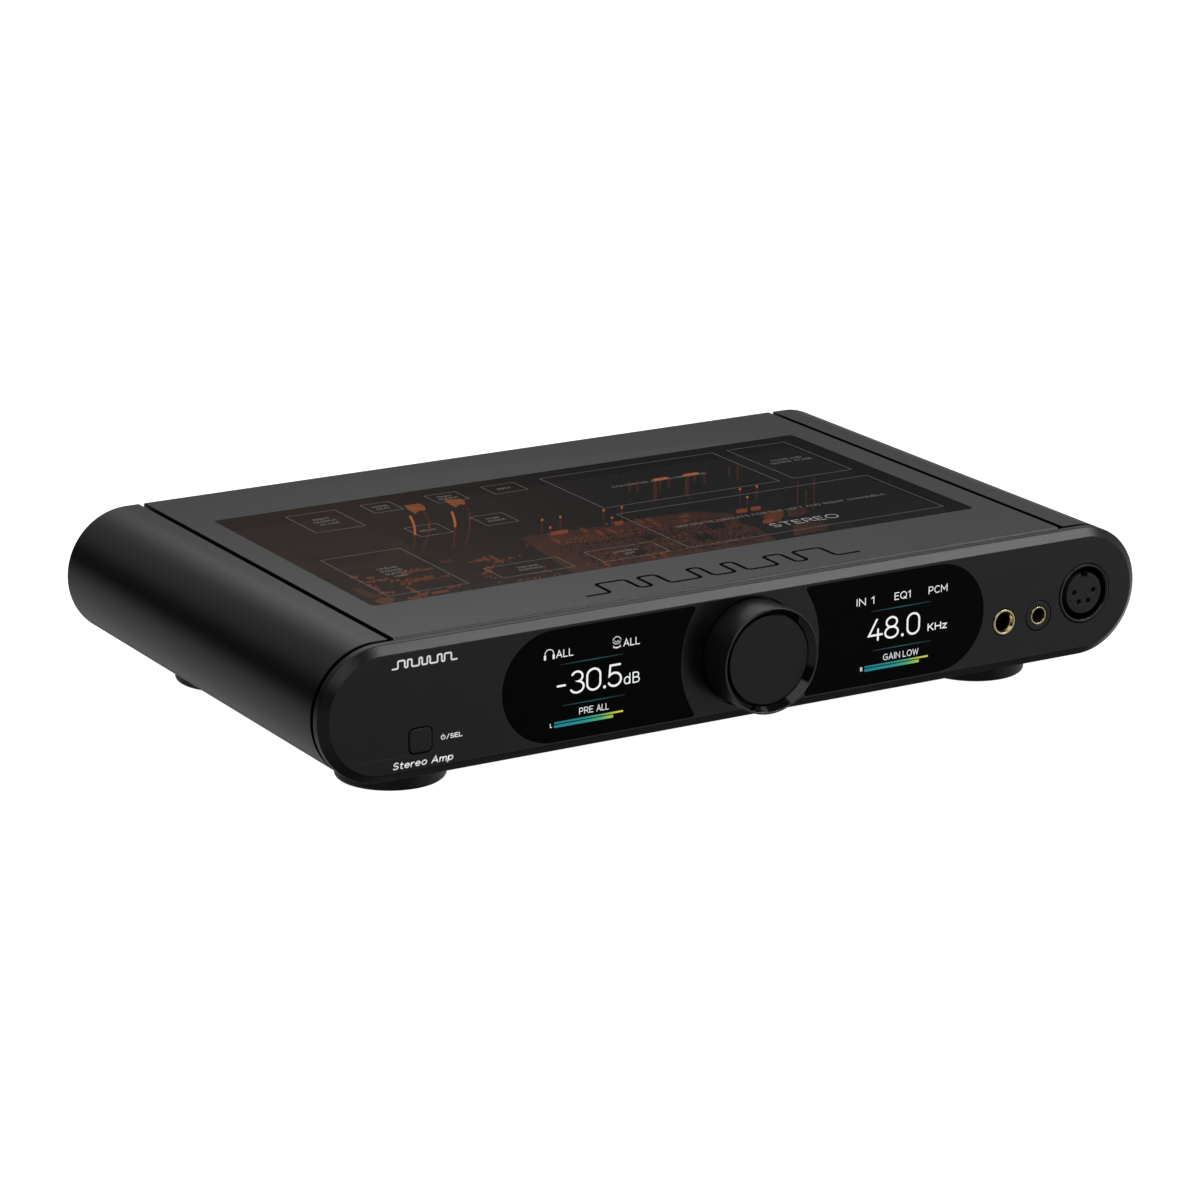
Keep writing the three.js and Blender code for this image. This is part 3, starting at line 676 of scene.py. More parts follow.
FONT = {
    "0": (.62, [(G(.31, .69, .31, .31, 180, 0) + G(.31, .31, .31, .31, 0, -180), True)]),
    "1": (.26, [([(0, .80), (.24, 1), (.24, 0)], False)]),
    "2": (.60, [(G(.30, .70, .30, .30, 168, -38) + [(0, 0), (.60, 0)], False)]),
    "3": (.60, [(G(.29, .755, .255, .245, 152, -90)[:-1] + G(.29, .27, .31, .27, 90, -155), False)]),
    "4": (.68, [([(.40, 1), (0, .25), (.68, .25)], False), ([(.47, .52), (.47, 0)], False)]),
    "5": (.60, [([(.55, 1), (.09, 1), (.05, .52)] + G(.29, .315, .31, .315, 128, -152), False)]),
    "6": (.60, [([(.42, 1), (.07, .50)] + G(.30, .305, .30, .305, 140, 500, 24), False)]),
    "7": (.56, [([(0, 1), (.56, 1), (.18, 0)], False)]),
    "8": (.62, [(G(.31, .76, .255, .24, 90, 450, 24), True), (G(.31, .265, .31, .265, 90, 450, 26), True)]),
    "9": (.60, [([(.18, 0), (.53, .50)] + G(.30, .695, .30, .305, -40, 320, 24), False)]),
    ".": (.02, [([(0, .0), (.02, .0)], False)]),
    "-": (.36, [([(0, .45), (.36, .45)], False)]),
    "/": (.38, [([(0, -.08), (.38, 1.08)], False)]),
    " ": (.20, []),
    "A": (.70, [([(0, 0), (.35, 1), (.70, 0)], False), ([(.12, .32), (.58, .32)], False)]),
    "B": (.60, [([(0, 0), (0, 1), (.32, 1)] + G(.32, .76, .22, .24, 90, -90) + [(0, .52)], False), ([(.32, .52)] + G(.33, .26, .27, .26, 90, -90) + [(0, 0)], False)]),
    "C": (.68, [(G(.38, .5, .38, .5, 48, 312, 22), False)]),
    "D": (.68, [([(0, 0), (0, 1), (.26, 1)] + G(.26, .5, .42, .5, 90, -90, 18) + [(0, 0)], True)]),
    "E": (.52, [([(.52, 1), (0, 1), (0, 0), (.52, 0)], False), ([(0, .52), (.45, .52)], False)]),
    "F": (.52, [([(.52, 1), (0, 1), (0, 0)], False), ([(0, .50), (.45, .50)], False)]),
    "G": (.74, [(G(.40, .5, .40, .5, 48, 338, 22) + [(.74, .46), (.42, .46)], False)]),
    "H": (.64, [([(0, 0), (0, 1)], False), ([(.64, 0), (.64, 1)], False), ([(0, .5), (.64, .5)], False)]),
    "I": (.04, [([(.02, 0), (.02, 1)], False)]),
    "K": (.60, [([(0, 0), (0, 1)], False), ([(.56, 1), (0, .38)], False), ([(.20, .60), (.60, 0)], False)]),
    "L": (.48, [([(0, 1), (0, 0), (.48, 0)], False)]),
    "M": (.80, [([(0, 0), (0, 1), (.40, .30), (.80, 1), (.80, 0)], False)]),
    "N": (.66, [([(0, 0), (0, 1), (.66, 0), (.66, 1)], False)]),
    "O": (.80, [(G(.40, .5, .40, .5, 90, 450, 28), True)]),
    "P": (.56, [([(0, 0), (0, 1), (.30, 1)] + G(.30, .71, .26, .29, 90, -90) + [(0, .42)], False)]),
    "Q": (.80, [(G(.40, .5, .40, .5, 90, 450, 28), True), ([(.46, .24), (.80, -.08)], False)]),
    "R": (.60, [([(0, 0), (0, 1), (.31, 1)] + G(.31, .73, .26, .27, 90, -90) + [(0, .46)], False), ([(.31, .46), (.60, 0)], False)]),
    "S": (.58, [(G(.29, .75, .25, .25, 38, 270)[:-1] + G(.29, .25, .29, .25, 90, -145), False)]),
    "T": (.62, [([(0, 1), (.62, 1)], False), ([(.31, 1), (.31, 0)], False)]),
    "U": (.66, [([(0, 1), (0, .33)] + G(.33, .33, .33, .33, 180, 360) + [(.66, 1)], False)]),
    "V": (.68, [([(0, 1), (.34, 0), (.68, 1)], False)]),
    "W": (.96, [([(0, 1), (.24, 0), (.48, .9), (.72, 0), (.96, 1)], False)]),
    "X": (.62, [([(0, 1), (.62, 0)], False), ([(.62, 1), (0, 0)], False)]),
    "Y": (.64, [([(0, 1), (.32, .48), (.64, 1)], False), ([(.32, .48), (.32, 0)], False)]),
    "Z": (.60, [([(0, 1), (.60, 1), (0, 0), (.60, 0)], False)]),
    "d": (.54, [(G(.27, .34, .27, .34, 90, 450, 22), True), ([(.54, 1), (.54, 0)], False)]),
    "h": (.48, [([(0, 1), (0, 0)], False), ([(0, .42)] + G(.24, .42, .24, .26, 170, 0) + [(.48, 0)], False)]),
    "z": (.44, [([(0, .66), (.44, .66), (0, 0), (.44, 0)], False)]),
    "t": (.34, [([(.12, .92), (.12, .16)] + G(.26, .16, .14, .16, 180, 270, 6) + [(.34, 0)], False), ([(0, .66), (.32, .66)], False)]),
    "e": (.52, [([(.02, .36), (.52, .36)] + G(.26, .34, .26, .34, 10, 318, 20), False)]),
    "r": (.30, [([(0, .66), (0, 0)], False), ([(0, .40)] + G(.22, .42, .22, .24, 170, 70, 6), False)]),
    "o": (.54, [(G(.27, .34, .27, .34, 90, 450, 22), True)]),
    "m": (.78, [([(0, .66), (0, 0)], False), ([(0, .44)] + G(.195, .44, .195, .22, 170, 0) + [(.39, 0)], False), ([(.39, .44)] + G(.585, .44, .195, .22, 170, 0) + [(.78, 0)], False)]),
    "p": (.54, [([(0, .66), (0, -.30)], False), (G(.27, .34, .27, .34, 90, 450, 22), True)]),
    "a": (.52, [(G(.26, .34, .26, .34, 90, 450, 22), True), ([(.52, .66), (.52, 0)], False)]),
    "s": (.42, [(G(.21, .50, .18, .16, 38, 270)[:-1] + G(.21, .17, .21, .17, 90, -145), False)]),
    "n": (.48, [([(0, .66), (0, 0)], False), ([(0, .42)] + G(.24, .42, .24, .24, 170, 0) + [(.48, 0)], False)]),
    "i": (.04, [([(.02, .66), (.02, 0)], False), ([(.02, .92), (.02, .94)], False)]),
    "u": (.48, [([(0, .66), (0, .26)] + G(.24, .26, .24, .26, 180, 360) + [(.48, .66)], False), ([(.48, .4), (.48, 0)], False)]),
}


def text(geo, s, x0, x1, y0, y1, w, h0, h1, ax=XZ, m=0, gap=0.24, slant=0.0, fit=True, centre=False):
    """Writes s between x0 and x1, from y0 to y1 high, with strokes w wide (the stroke's own width is inside)."""
    adv, items = 0.0, []
    for ch in s:
        gw, st = FONT[ch]
        items.append((adv, st))
        adv += gw + gap
    adv -= gap
    hh = (y1 - y0 - w)
    if fit:
        sx = (x1 - x0 - w) / adv
        ox = x0 + w / 2
    else:
        sx = hh
        ox = x0 + w / 2
        if centre:
            ox = (x0 + x1) / 2 - adv * sx / 2
    for a, st in items:
        for pts, closed in st:
            geo.stroke([(ox + (a + p[0]) * sx + slant * p[1] * hh, y0 + w / 2 + p[1] * hh) for p in pts], w, h0, h1, ax, closed, m)


# ------------------------------------------------------------------ front panel
def front_panel():
    g = Geo()
    lv = [(0.0, 3.32), (0.05, 3.14), (0.14, 2.98), (2.24, 0.18), (2.36, 0.06), (2.52, 0.0), (5.05, 0.0), (5.22, 0.05), (5.31, 0.16), (5.35, 0.32)]
    outer = [g.loop(stadium(i, 48), y, XZ) for y, i in lv]
    g.walls(outer)
    front, back = [outer[0]], [outer[-1]]

    def hole(fn, e, m=0):
        ys = [(0.0, e), (e * 0.3, e * 0.3), (e, 0.0), (5.35, 0.0)]
        loops = [g.loop(fn(gr), y, XZ) for y, gr in ys]
        g.walls(loops, m)
        front.append(loops[0])
        back.append(loops[-1])
    hole(lambda k: display_outline(-k, 1.0 + k), 0.10)
    hole(lambda k: display_outline(-k, 1.0 + k, True), 0.10)
    hole(lambda k: rr(-136.7, 8.75, -127.5, 18.25, 2.2, k, 8), 0.12)
    hole(lambda k: circle(109.8, 18.3, 5.15 + k, 56), 0.10)
    hole(lambda k: circle(125.2, 18.5, 5.8 + k, 56), 0.10)
    hole(lambda k: circle(145.7, 24.0, 11.42 + k, 88), 0.14)
    ys = [(0.0, 20.12), (0.05, 20.0), (0.16, 19.95), (2.9, 19.95), (3.0, 19.85), (3.0, 4.0), (3.1, 3.9), (5.35, 3.9)]
    loops = [g.loop(circle(0, 24.4, r, 128), y, XZ) for y, r in ys]
    g.walls(loops)
    front.append(loops[0])
    back.append(loops[-1])
    g.cap(front)
    g.cap(back)
    return finish_obj("front_panel_shell", g, ["panel"], replaces=["front_panel"])


def panel_joint():
    g = Geo()
    o = [g.loop(stadium(0.95, 48), y, XZ) for y in (5.30, 7.35)]
    i = [g.loop(stadium(4.6, 48), y, XZ) for y in (5.30, 7.35)]
    g.bridge(o[0], o[1])
    g.bridge(i[0], i[1])
    g.bridge(o[0], i[0])
    g.bridge(o[1], i[1])
    return finish_obj("front_panel_joint_ring", g, ["joint"])


def lenses():
    for side, right in (("left", False), ("right", True)):
        g = Geo()
        lv = [(0.05, 0.26), (0.07, 0.17), (0.14, 0.13), (2.0, 0.13)]
        loops = [g.loop(display_outline(i, 1.0, right), y, XZ) for y, i in lv]
        g.walls(loops)
        g.cap([loops[0]])
        g.cap([loops[-1]])
        finish_obj("display_cover_" + side, g, ["lens"], replaces=["display_lens_" + side])


H0, H1 = 0.045, 0.005      # readout segments: just in front of the cover's face


def readouts():
    # left display
    g = Geo()
    big = dict(h0=H0, h1=H1)
    text(g, "-", -78.9, -75.2, 20.2, 28.5, 0.74, **big)
    text(g, "3", -73.6, -67.75, 20.2, 28.5, 0.74, **big)
    text(g, "0", -67.1, -61.1, 20.2, 28.5, 0.74, **big)
    g.prism(circle(-59.75, 20.85, 0.58, 20), H0, H1)
    text(g, "5", -58.6, -52.75, 20.2, 28.5, 0.74, **big)
    text(g, "d", -52.0, -49.35, 20.35, 24.4, 0.44, **big)
    text(g, "B", -48.45, -45.55, 20.35, 24.4, 0.44, **big)
    finish_obj("readout_left_level", g, ["glyph"], weighted=False)
    g = Geo()
    text(g, "ALL", -79.2, -72.3, 34.15, 36.95, 0.34, **big)
    text(g, "ALL", -52.3, -45.65, 34.15, 36.95, 0.34, **big)
    text(g, "PRE", -69.85, -64.2, 12.45, 14.85, 0.27, **big)
    text(g, "ALL", -62.9, -57.95, 12.45, 14.85, 0.27, **big)
    text(g, "L", -81.5, -80.7, 9.5, 11.0, 0.26, **big)
    # headphone symbol: band and two ear pieces
    g.stroke(arc(-81.85, 35.95, 1.75, 8, 172, 16), 0.30, H0, H1)
    for sx in (-1, 1):
        g.prism(rrect(-81.85 + sx * 1.72 - 0.42, 34.05, -81.85 + sx * 1.72 + 0.42, 35.9, 0.34, 4), H0, H1)
    # line-output symbol: a knob with two waves
    for rr_, a0, a1 in ((0.75, -60, 60), (1.5, -58, 58)):
        g.stroke(arc(-54.95, 37.3, rr_ + 0.2, -150, -30, 12), 0.22, H0, H1)
    g.stroke(arc(-54.9, 36.5, 1.7, 20, 160, 14), 0.25, H0, H1)
    g.stroke(arc(-54.9, 35.6, 1.5, 200, 340, 14), 0.25, H0, H1)
    g.stroke([(-56.3, 34.4), (-53.4, 34.4)], 0.25, H0, H1)
    finish_obj("readout_left_labels", g, ["glyph_small"], weighted=False)
    g = Geo()
    g.prism(rrect(-77.5, 31.42, -52.2, 31.78, 0.17, 4), H0, H1)
    g.prism(rrect(-76.6, 16.52, -51.6, 16.88, 0.17, 4), H0, H1)
    finish_obj("readout_left_dividers", g, ["line_left"], weighted=False)
    g = Geo()
    g.prism(rrect(-79.84, 10.58, -52.2, 11.22, 0.2, 4), H0, H1)
    g.prism(rrect(-79.9, 9.15, -56.2, 10.2, 0.3, 4), H0, H1)
    finish_obj("readout_left_bars", g, ["bar_left"], weighted=False)
    # right display
    g = Geo()
    text(g, "4", 49.9, 56.35, 19.8, 28.2, 0.74, **big)
    text(g, "8", 56.95, 63.25, 19.8, 28.2, 0.74, **big)
    g.prism(circle(64.85, 20.45, 0.58, 20), H0, H1)
    text(g, "0", 66.6, 72.45, 19.8, 28.2, 0.74, **big)
    text(g, "KHz", 75.85, 84.3, 20.1, 22.95, 0.42, **big)
    finish_obj("readout_right_rate", g, ["glyph"], weighted=False)
    g = Geo()
    text(g, "IN 1", 44.6, 52.3, 33.95, 36.75, 0.34, **big)
    text(g, "EQ1", 61.0, 68.0, 33.95, 36.75, 0.34, **big)
    text(g, "PCM", 75.85, 84.1, 33.95, 36.75, 0.34, **big)
    text(g, "GAIN", 56.7, 64.05, 12.0, 14.4, 0.27, **big)
    text(g, "LOW", 65.3, 72.1, 12.0, 14.4, 0.27, **big)
    text(g, "R", 46.9, 47.85, 9.4, 11.0, 0.26, **big)
    finish_obj("readout_right_labels", g, ["glyph_small"], weighted=False)
    g = Geo()
    g.prism(rrect(51.0, 30.97, 77.0, 31.33, 0.17, 4), H0, H1)
    g.prism(rrect(52.0, 16.22, 77.5, 16.58, 0.17, 4), H0, H1)
    finish_obj("readout_right_dividers", g, ["line_right"], weighted=False)
    g = Geo()
    g.prism(rrect(48.65, 10.43, 76.3, 11.07, 0.2, 4), H0, H1)
    g.prism(rrect(48.7, 9.0, 72.4, 10.05, 0.3, 4), H0, H1)
    finish_obj("readout_right_bars", g, ["bar_right"], weighted=False)


def pulse_line(x0, x1, y0, y1, r, n=5):
    """An abstract pulse train: one line that steps between two levels, with rounded corners."""
    edges = [0.085, 0.19, 0.235, 0.30, 0.415, 0.46, 0.54, 0.585, 0.70, 0.765, 0.81, 0.915]
    pts, level, x = [(x0, y0)], 0, x0
    ys = (y0, y1)
    for e in edges:
        ex = x0 + (x1 - x0) * e
        a, b = ys[level], ys[1 - level]
        s = 1 if b > a else -1
        pts += [(ex - r + r * math.sin(t), a + s * (r - r * math.cos(t))) for t in [math.pi / 2 * k / n for k in range(n + 1)]]
        pts += [(ex + r - r * math.cos(t), b - s * (r - r * math.sin(t))) for t in [math.pi / 2 * k / n for k in range(n + 1)]]
        level = 1 - level
    pts.append((x1, ys[level]))
    return pts


def line_outline(pts, w, n=6):
    """The closed outline of a line drawn w wide, with round ends."""
    pts = [Vector(p) for p in pts]
    L, R = [], []
    for i, p in enumerate(pts):
        d1 = (p - pts[i - 1]).normalized() if i else None
        d2 = (pts[i + 1] - p).normalized() if i < len(pts) - 1 else None
        d1 = d1 or d2
        d2 = d2 or d1
        n1, n2 = Vector((-d1.y, d1.x)), Vector((-d2.y, d2.x))
        b = (n1 + n2).normalized()
        o = b * (w / 2 / max(0.5, b.dot(n1)))
        L.append(p + o)
        R.append(p - o)
    de, ds = (pts[-1] - pts[-2]).normalized(), (pts[0] - pts[1]).normalized()

    def end(c, d):
        nn = Vector((-d.y, d.x))
        return [c + nn * (w / 2 * math.cos(math.pi * k / n)) + d * (w / 2 * math.sin(math.pi * k / n)) for k in range(1, n)]
    out = L + end(pts[-1], de) + list(reversed(R)) + end(pts[0], ds)
    return [(p.x, p.y) for p in out]


def panel_print():
    g = Geo()
    P0, P1 = 0.012, -0.02
    g.stroke(pulse_line(-142.6, -118.0, 40.15, 42.75, 0.45, 4), 0.60, P0, P1)
    finish_obj("panel_print_mark", g, ["print"], weighted=False)
    g = Geo()
    text(g, "Stereo Amp", -142.9, -119.6, 4.55, 7.15, 0.44, P0, P1, slant=0.22)
    finish_obj("panel_print_lower", g, ["print"], weighted=False)
    g = Geo()
    g.stroke(arc(-123.35, 13.2, 0.74, 120, 420, 20), 0.32, P0, P1)
    g.stroke([(-123.35, 13.35), (-123.35, 14.25)], 0.32, P0, P1)
    text(g, "/SEL", -122.1, -115.85, 12.35, 14.1, 0.36, P0, P1)
    finish_obj("panel_print_button", g, ["print"], weighted=False)


# ------------------------------------------------------------------ top cover, window
def rounded_bar(x, y0, y1, w, g=0.0, n=6):
    r = w / 2 + g
    return arc(x, y1 - w / 2, r, 0, 180, n) + arc(x, y0 + w / 2, r, 180, 360, n)


def top_cover():
    g = Geo()
    X0, X1 = -138.3, 138.3
    e = 0.28

    def out(i):
        k = i * 0.4
        return [(X0 + k, BODY_Y0 + i), (X1 - k, BODY_Y0 + i), (X1 - k, BODY_Y1 - k), (X0 + k, BODY_Y1 - k)]
    lv = [(48.5, 0.60), (48.46, 0.54), (47.86, 0.04), (47.80, 0.0), (45.7, 0.0), (45.5, 0.2)]
    o = [g.loop(out(i), z, XY) for z, i in lv]
    g.walls(o)
    k = 0.22
    hl = [(48.5, k), (48.5 - k * 0.3, k * 0.3), (48.5 - k, 0.0), (45.5, 0.0)]
    h = [g.loop(rr(-126.6, 43.7, 126.6, 167.0, 2.0, q, 10), z, XY) for z, q in hl]
    g.walls(h)
    top, bottom = [o[0], h[0]], [o[-1], h[-1]]
    line = pulse_line(-56.6, 56.6, 17.0, 28.3, 1.9, 6)
    lp = [g.loop(line_outline(line, w), z, XY) for z, w in ((48.5, 1.58), (48.44, 1.46), (47.7, 1.42))]
    g.bridge(lp[0], lp[1], 0)
    g.bridge(lp[1], lp[2], 1)
    g.cap([lp[2]], 1)
    top.append(lp[0])
    g.cap(top)
    g.cap(bottom)
    return finish_obj("top_cover_plate", g, ["case", "engrave"], replaces=["top_cover"])


def window():
    g = Geo()
    e = 0.18
    lv = [(48.45, e), (48.45 - e * 0.3, e * 0.3), (48.45 - e, 0.0), (45.85, 0.0), (45.8, 0.1)]
    o = [g.loop(rr(-126.45, 43.85, 126.45, 166.85, 1.85, -i, 10), z, XY) for z, i in lv]
    g.walls(o)
    g.cap([o[0]])
    g.cap([o[-1]])
    finish_obj("top_window_glass", g, ["smoked"], replaces=["top_window"])
    # black printed border under the edge of the glass, and its gasket
    g = Geo()
    a = [g.loop(rr(-126.2, 44.1, 126.2, 166.6, 1.6, 0, 10), z, XY) for z in (45.72, 45.5)]
    b = [g.loop(rr(-123.9, 46.4, 123.9, 164.3, 1.2, 0, 10), z, XY) for z in (45.72, 45.5)]
    g.bridge(a[0], a[1])
    g.bridge(b[0], b[1])
    g.bridge(a[0], b[0])
    g.bridge(a[1], b[1])
    finish_obj("window_border", g, ["joint"])
    g = Geo()
    a = [g.loop(rr(-126.6, 43.7, 126.6, 167.0, 2.0, 3.4 - i, 10), z, XY) for z, i in ((45.2, 0.2), (45.0, 0), (44.5, 0), (44.3, 0.2))]
    b = [g.loop(rr(-123.6, 46.7, 123.6, 164.0, 2.0, i, 10), z, XY) for z, i in ((45.2, 0.2), (45.0, 0), (44.5, 0), (44.3, 0.2))]
    g.walls(a)
    g.walls(b)
    g.bridge(a[0], b[0])
    g.bridge(a[-1], b[-1])
    finish_obj("window_gasket_ring", g, ["rubber"], replaces=["window_gasket"])


def window_print():
    boxes = [
        (-101.3, 134.1, -81.1, 158.6, ["RIGHT", "OUTPUT", "STAGE"]), (-70.2, 147.0, -58.3, 159.0, ["MAINS", "INLET"]),
        (-43.1, 147.5, -30.1, 159.0, ["RIGHT", "OUTPUT"]), (-18.5, 148.0, -4.5, 159.4, ["INPUT"]),
        (-70.6, 111.0, -57.4, 124.1, ["RELAY"]), (-42.4, 111.9, -29.3, 125.0, ["MAIN", "CLOCK"]),
        (-116.4, 51.3, -84.5, 101.9, ["LINEAR", "POWER", "SUPPLY", "UNIT"]), (6.9, 111.3, 84.4, 159.0, None),
        (91.4, 111.9, 117.9, 159.2, ["FILTER AND", "OUTPUT STAGE"]), (6.5, 51.4, 118.0, 102.0, None),
        (-29.7, 50.6, -1.8, 64.5, ["CONTROL", "UNIT"]), (-70.9, 50.8, -41.3, 64.7, ["VOLUME", "CONTROL"]),
    ]
    g = Geo()
    z0, z1 = 48.452, 48.478
    for x0, y0, x1, y1, words in boxes:
        g.stroke([(x0, y0), (x1, y0), (x1, y1), (x0, y1)], 0.25, z0, z1, XY, True)
        if not words:
            continue
        cy = (y0 + y1) / 2
        step = 3.5 if (y1 - y0) > 20 else 3.1
        hh = 2.1 if (y1 - y0) > 20 else 1.9
        for i, wd in enumerate(words):
            yy = cy + (len(words) / 2 - i - 0.5) * step
            text(g, wd, x0, x1, yy - hh / 2, yy + hh / 2, 0.26, z0, z1, XY, fit=False, centre=True)
    text(g, "CONVERTER AND FILTER STAGE", 24.6, 66.2, 134.0, 136.0, 0.26, z0, z1, XY)
    text(g, "SEPARATE CIRCUITS FOR THE LEFT AND RIGHT CHANNELS", 16.4, 108.6, 75.4, 77.6, 0.28, z0, z1, XY)
    finish_obj("window_print_outlines", g, ["window_print"], weighted=False)
    g = Geo()
    text(g, "STEREO", 47.5, 77.0, 58.2, 63.2, 0.56, z0, z1, XY)
    finish_obj("window_print_title", g, ["window_mark"], weighted=False)


# ------------------------------------------------------------------ side shells, base, rear
def shell_profile(side, n=56):
    p = [(-140.3, 48.5 - 0.25), (-140.3 - 0.08, 48.5 - 0.08), (-140.3 - 0.25, 48.5)]
    p += arc(-HALF, RAD, RAD, 90, 270, n)
    p += [(-140.3 - 0.25, 0.0), (-140.3 - 0.08, 0.08), (-140.3, 0.25), (-140.3, 3.3), (-132.0, 3.3), (-132.0, 5.5)]
    inner = arc(-HALF, RAD, 21.05, 270 - 1, 90 + 1, n)
    cut = [(x, z) for x, z in inner if x < -132.2]
    # the inner wall meets the flat lips at the same height
    p += [(-138.0, 5.5), (-140.6, 3.9)] + cut + [(-140.6, 44.6), (-138.0, 43.0), (-132.0, 43.0), (-132.0, 45.2), (-140.3, 45.2)]
    if side > 0:
        p = [(-x, z) for x, z in reversed(p)]
    return p


def shells():
    for side, nm in ((-1, "left"), (1, "right")):
        g = Geo()
        p = shell_profile(side)
        g.prism(p, BODY_Y0, BODY_Y1, XZ, 0, 0.22, True)
        finish_obj(nm + "_side_extrusion", g, ["case"], replaces=[nm + "_side_shell"])


def base():
    g = Geo()
    e = 0.3

    def out(i):
        return [(-140 + i, BODY_Y0 + i), (140 - i, BODY_Y0 + i), (140 - i, BODY_Y1 - i), (-140 + i, BODY_Y1 - i)]
    o = [g.loop(out(i), z, XY) for z, i in ((0.0, e), (e * 0.3, e * 0.3), (e, 0.0), (3.0, 0.0))]
    g.walls(o)
    low, high = [o[0]], [o[-1]]
    # ventilation slots under the transformer and the amplifier
    for cx, cy, nx in ((-86, 146, 9), (70, 161, 9)):
        for i in range(nx):
            x = cx + (i - (nx - 1) / 2) * 5.0
            lp = [g.loop(rounded_bar(x, cy - 13, cy + 13, 2.2, q), z, XY) for z, q in ((0.0, 0.15), (0.15, 0.0), (3.0, 0.0))]
            g.walls(lp)
            low.append(lp[0])
            high.append(lp[-1])
    g.cap(low)
    g.cap(high)
    finish_obj("base_plate", g, ["case"], replaces=["bottom_plate"])
    # posts that carry the boards
    g = Geo()
    for x, y in POSTS:
        g.lathe([(3.0, 2.9), (3.0, 3.1), (2.9, 8.6), (2.7, 8.75), (0, 8.75)], x, y, 24, axis="Z")
        g.lathe([(0, 2.9), (3.0, 2.9)], x, y, 24, axis="Z")
    finish_obj("board_posts", g, ["steel"])
    # countersunk screws in the base
    g = Geo()
    for x, y in BASE_SCREWS:
        screw(g, x, y, -0.02, 2.6, "Z", -1)
    finish_obj("base_screws", g, ["steel_black"])


POSTS = [(-34, 58), (120, 58), (-34, 178), (120, 178), (-120, 55), (-52, 55), (-120, 172), (-52, 172)]
BASE_SCREWS = [(-132, 14), (132, 14), (-132, 104), (132, 104), (-132, 194), (132, 194), (0, 14), (0, 194)]


def screw(g, cx, cz, h, r, axis="Y", s=1, socket=1.15, m=0, dome=0.9):
    """A low domed screw head with a hexagon socket. s is the way the head faces along the axis."""
    prof = [(socket, h + s * dome * 1.0), (r * 0.62, h + s * dome), (r * 0.9, h + s * dome * 0.72), (r, h + s * dome * 0.3), (r, h - s * 0.4), (0, h - s * 0.4)]
    ring_n = 36
    base_i = len(g.v)
    g.lathe(prof, cx, cz, ring_n, m, axis=axis)
    # the socket: a hexagon pressed into the head
    first = list(range(base_i, base_i + ring_n))

    def hexring(rad, hh):
        k = len(g.v)
        for i in range(ring_n):
            a = 2 * math.pi * i / ring_n
            c = math.cos(math.pi / 6) / math.cos((a % (math.pi / 3)) - math.pi / 6)
            u, w = cx + rad * c * math.cos(a), cz + rad * c * math.sin(a)
            g.v.append((u, hh, w) if axis == "Y" else (u, w, hh))
        return list(range(k, k + ring_n))
    a = hexring(socket * 0.92, h + s * (dome - 0.02))
    b = hexring(socket * 0.92, h + s * (dome - 0.75))
    g.bridge(first, a, m)
    g.bridge(a, b, m)
    g.cap([b], m)


def rear():
    g = Geo()
    Y0, Y1 = 197.6, 200.6
    half = [(131.7, 45.2), (131.7, 42.7), (138.0, 42.7), (140.8, 44.15)] + arc(HALF, RAD, 20.7, 100, -100, 44) + [(140.8, 4.35), (138.0, 5.8), (131.7, 5.8), (131.7, 3.3)]
    outline = half + [(-x, z) for x, z in reversed(half)]
    lv = [(Y1, 0.22), (Y1 - 0.07, 0.07), (Y1 - 0.22, 0.0), (Y0, 0.0)]
    o = [g.loop(offset_poly(outline, i) if i else outline, y, XZ) for y, i in lv]
    g.walls(o)
    back, front = [o[0]], [o[-1]]

    def hole(fn, e=0.15):
        lp = [g.loop(fn(k), y, XZ) for y, k in ((Y1, e), (Y1 - e * 0.3, e * 0.3), (Y1 - e, 0.0), (Y0, 0.0))]
        g.walls(lp)
        back.append(lp[0])
        front.append(lp[-1])

    def octo(k):
        hx, hz, c = 13.9 + k, 10.2 + k, 4.0
        return [(-112 - hx, CZ - hz + c), (-112 - hx + c, CZ - hz), (-112 + hx - c, CZ - hz), (-112 + hx, CZ - hz + c),
                (-112 + hx, CZ + hz - c), (-112 + hx - c, CZ + hz), (-112 - hx + c, CZ + hz), (-112 - hx, CZ + hz - c)]
    hole(octo)
    hole(lambda k: rr(-86.8, CZ - 9.9, -73.2, CZ + 9.9, 0.8, k, 4))
    for x in (86, 118):
        hole(lambda k, x=x: circle(x, CZ, 12.0 + k, 72))
    for x, z in ((60, 14.0), (60, 34.6), (34, CZ)):
        hole(lambda k, x=x, z=z: circle(x, z, 4.8 + k, 40))
    hole(lambda k: rr(6 - 6.4, CZ - 6.0, 6 + 6.4, CZ + 6.0, 0.6, k, 4))
    hole(lambda k: rr(-20 - 6.4, CZ - 6.4, -20 + 6.4, CZ + 6.4, 0.8, k, 4))
    for x, z in REAR_SCREWS:
        hole(lambda k, x=x, z=z: circle(x, z, 1.6 + k, 20), 0.08)
    g.cap(back)
    g.cap(front)
    finish_obj("rear_plate", g, ["case"], replaces=["rear_panel"])
    names = ["rear_screw_lower_left", "rear_screw_upper_left", "rear_screw_lower_right", "rear_screw_upper_right"]
    for (x, z), nm in zip(REAR_SCREWS, names):
        g = Geo()
        screw(g, x, z, 201.2, 2.7, "Y", 1, 1.15, 0, 1.3)
        g.lathe([(0, 193.0), (1.2, 193.0), (1.45, 193.3), (1.45, 200.8), (0, 200.8)], x, z, 20)
        finish_obj(nm + "_head", g, ["steel_black"], replaces=[nm])


REAR_SCREWS = [(-128, 9.5), (-128, 39.0), (136, 9.5), (136, 39.0)]


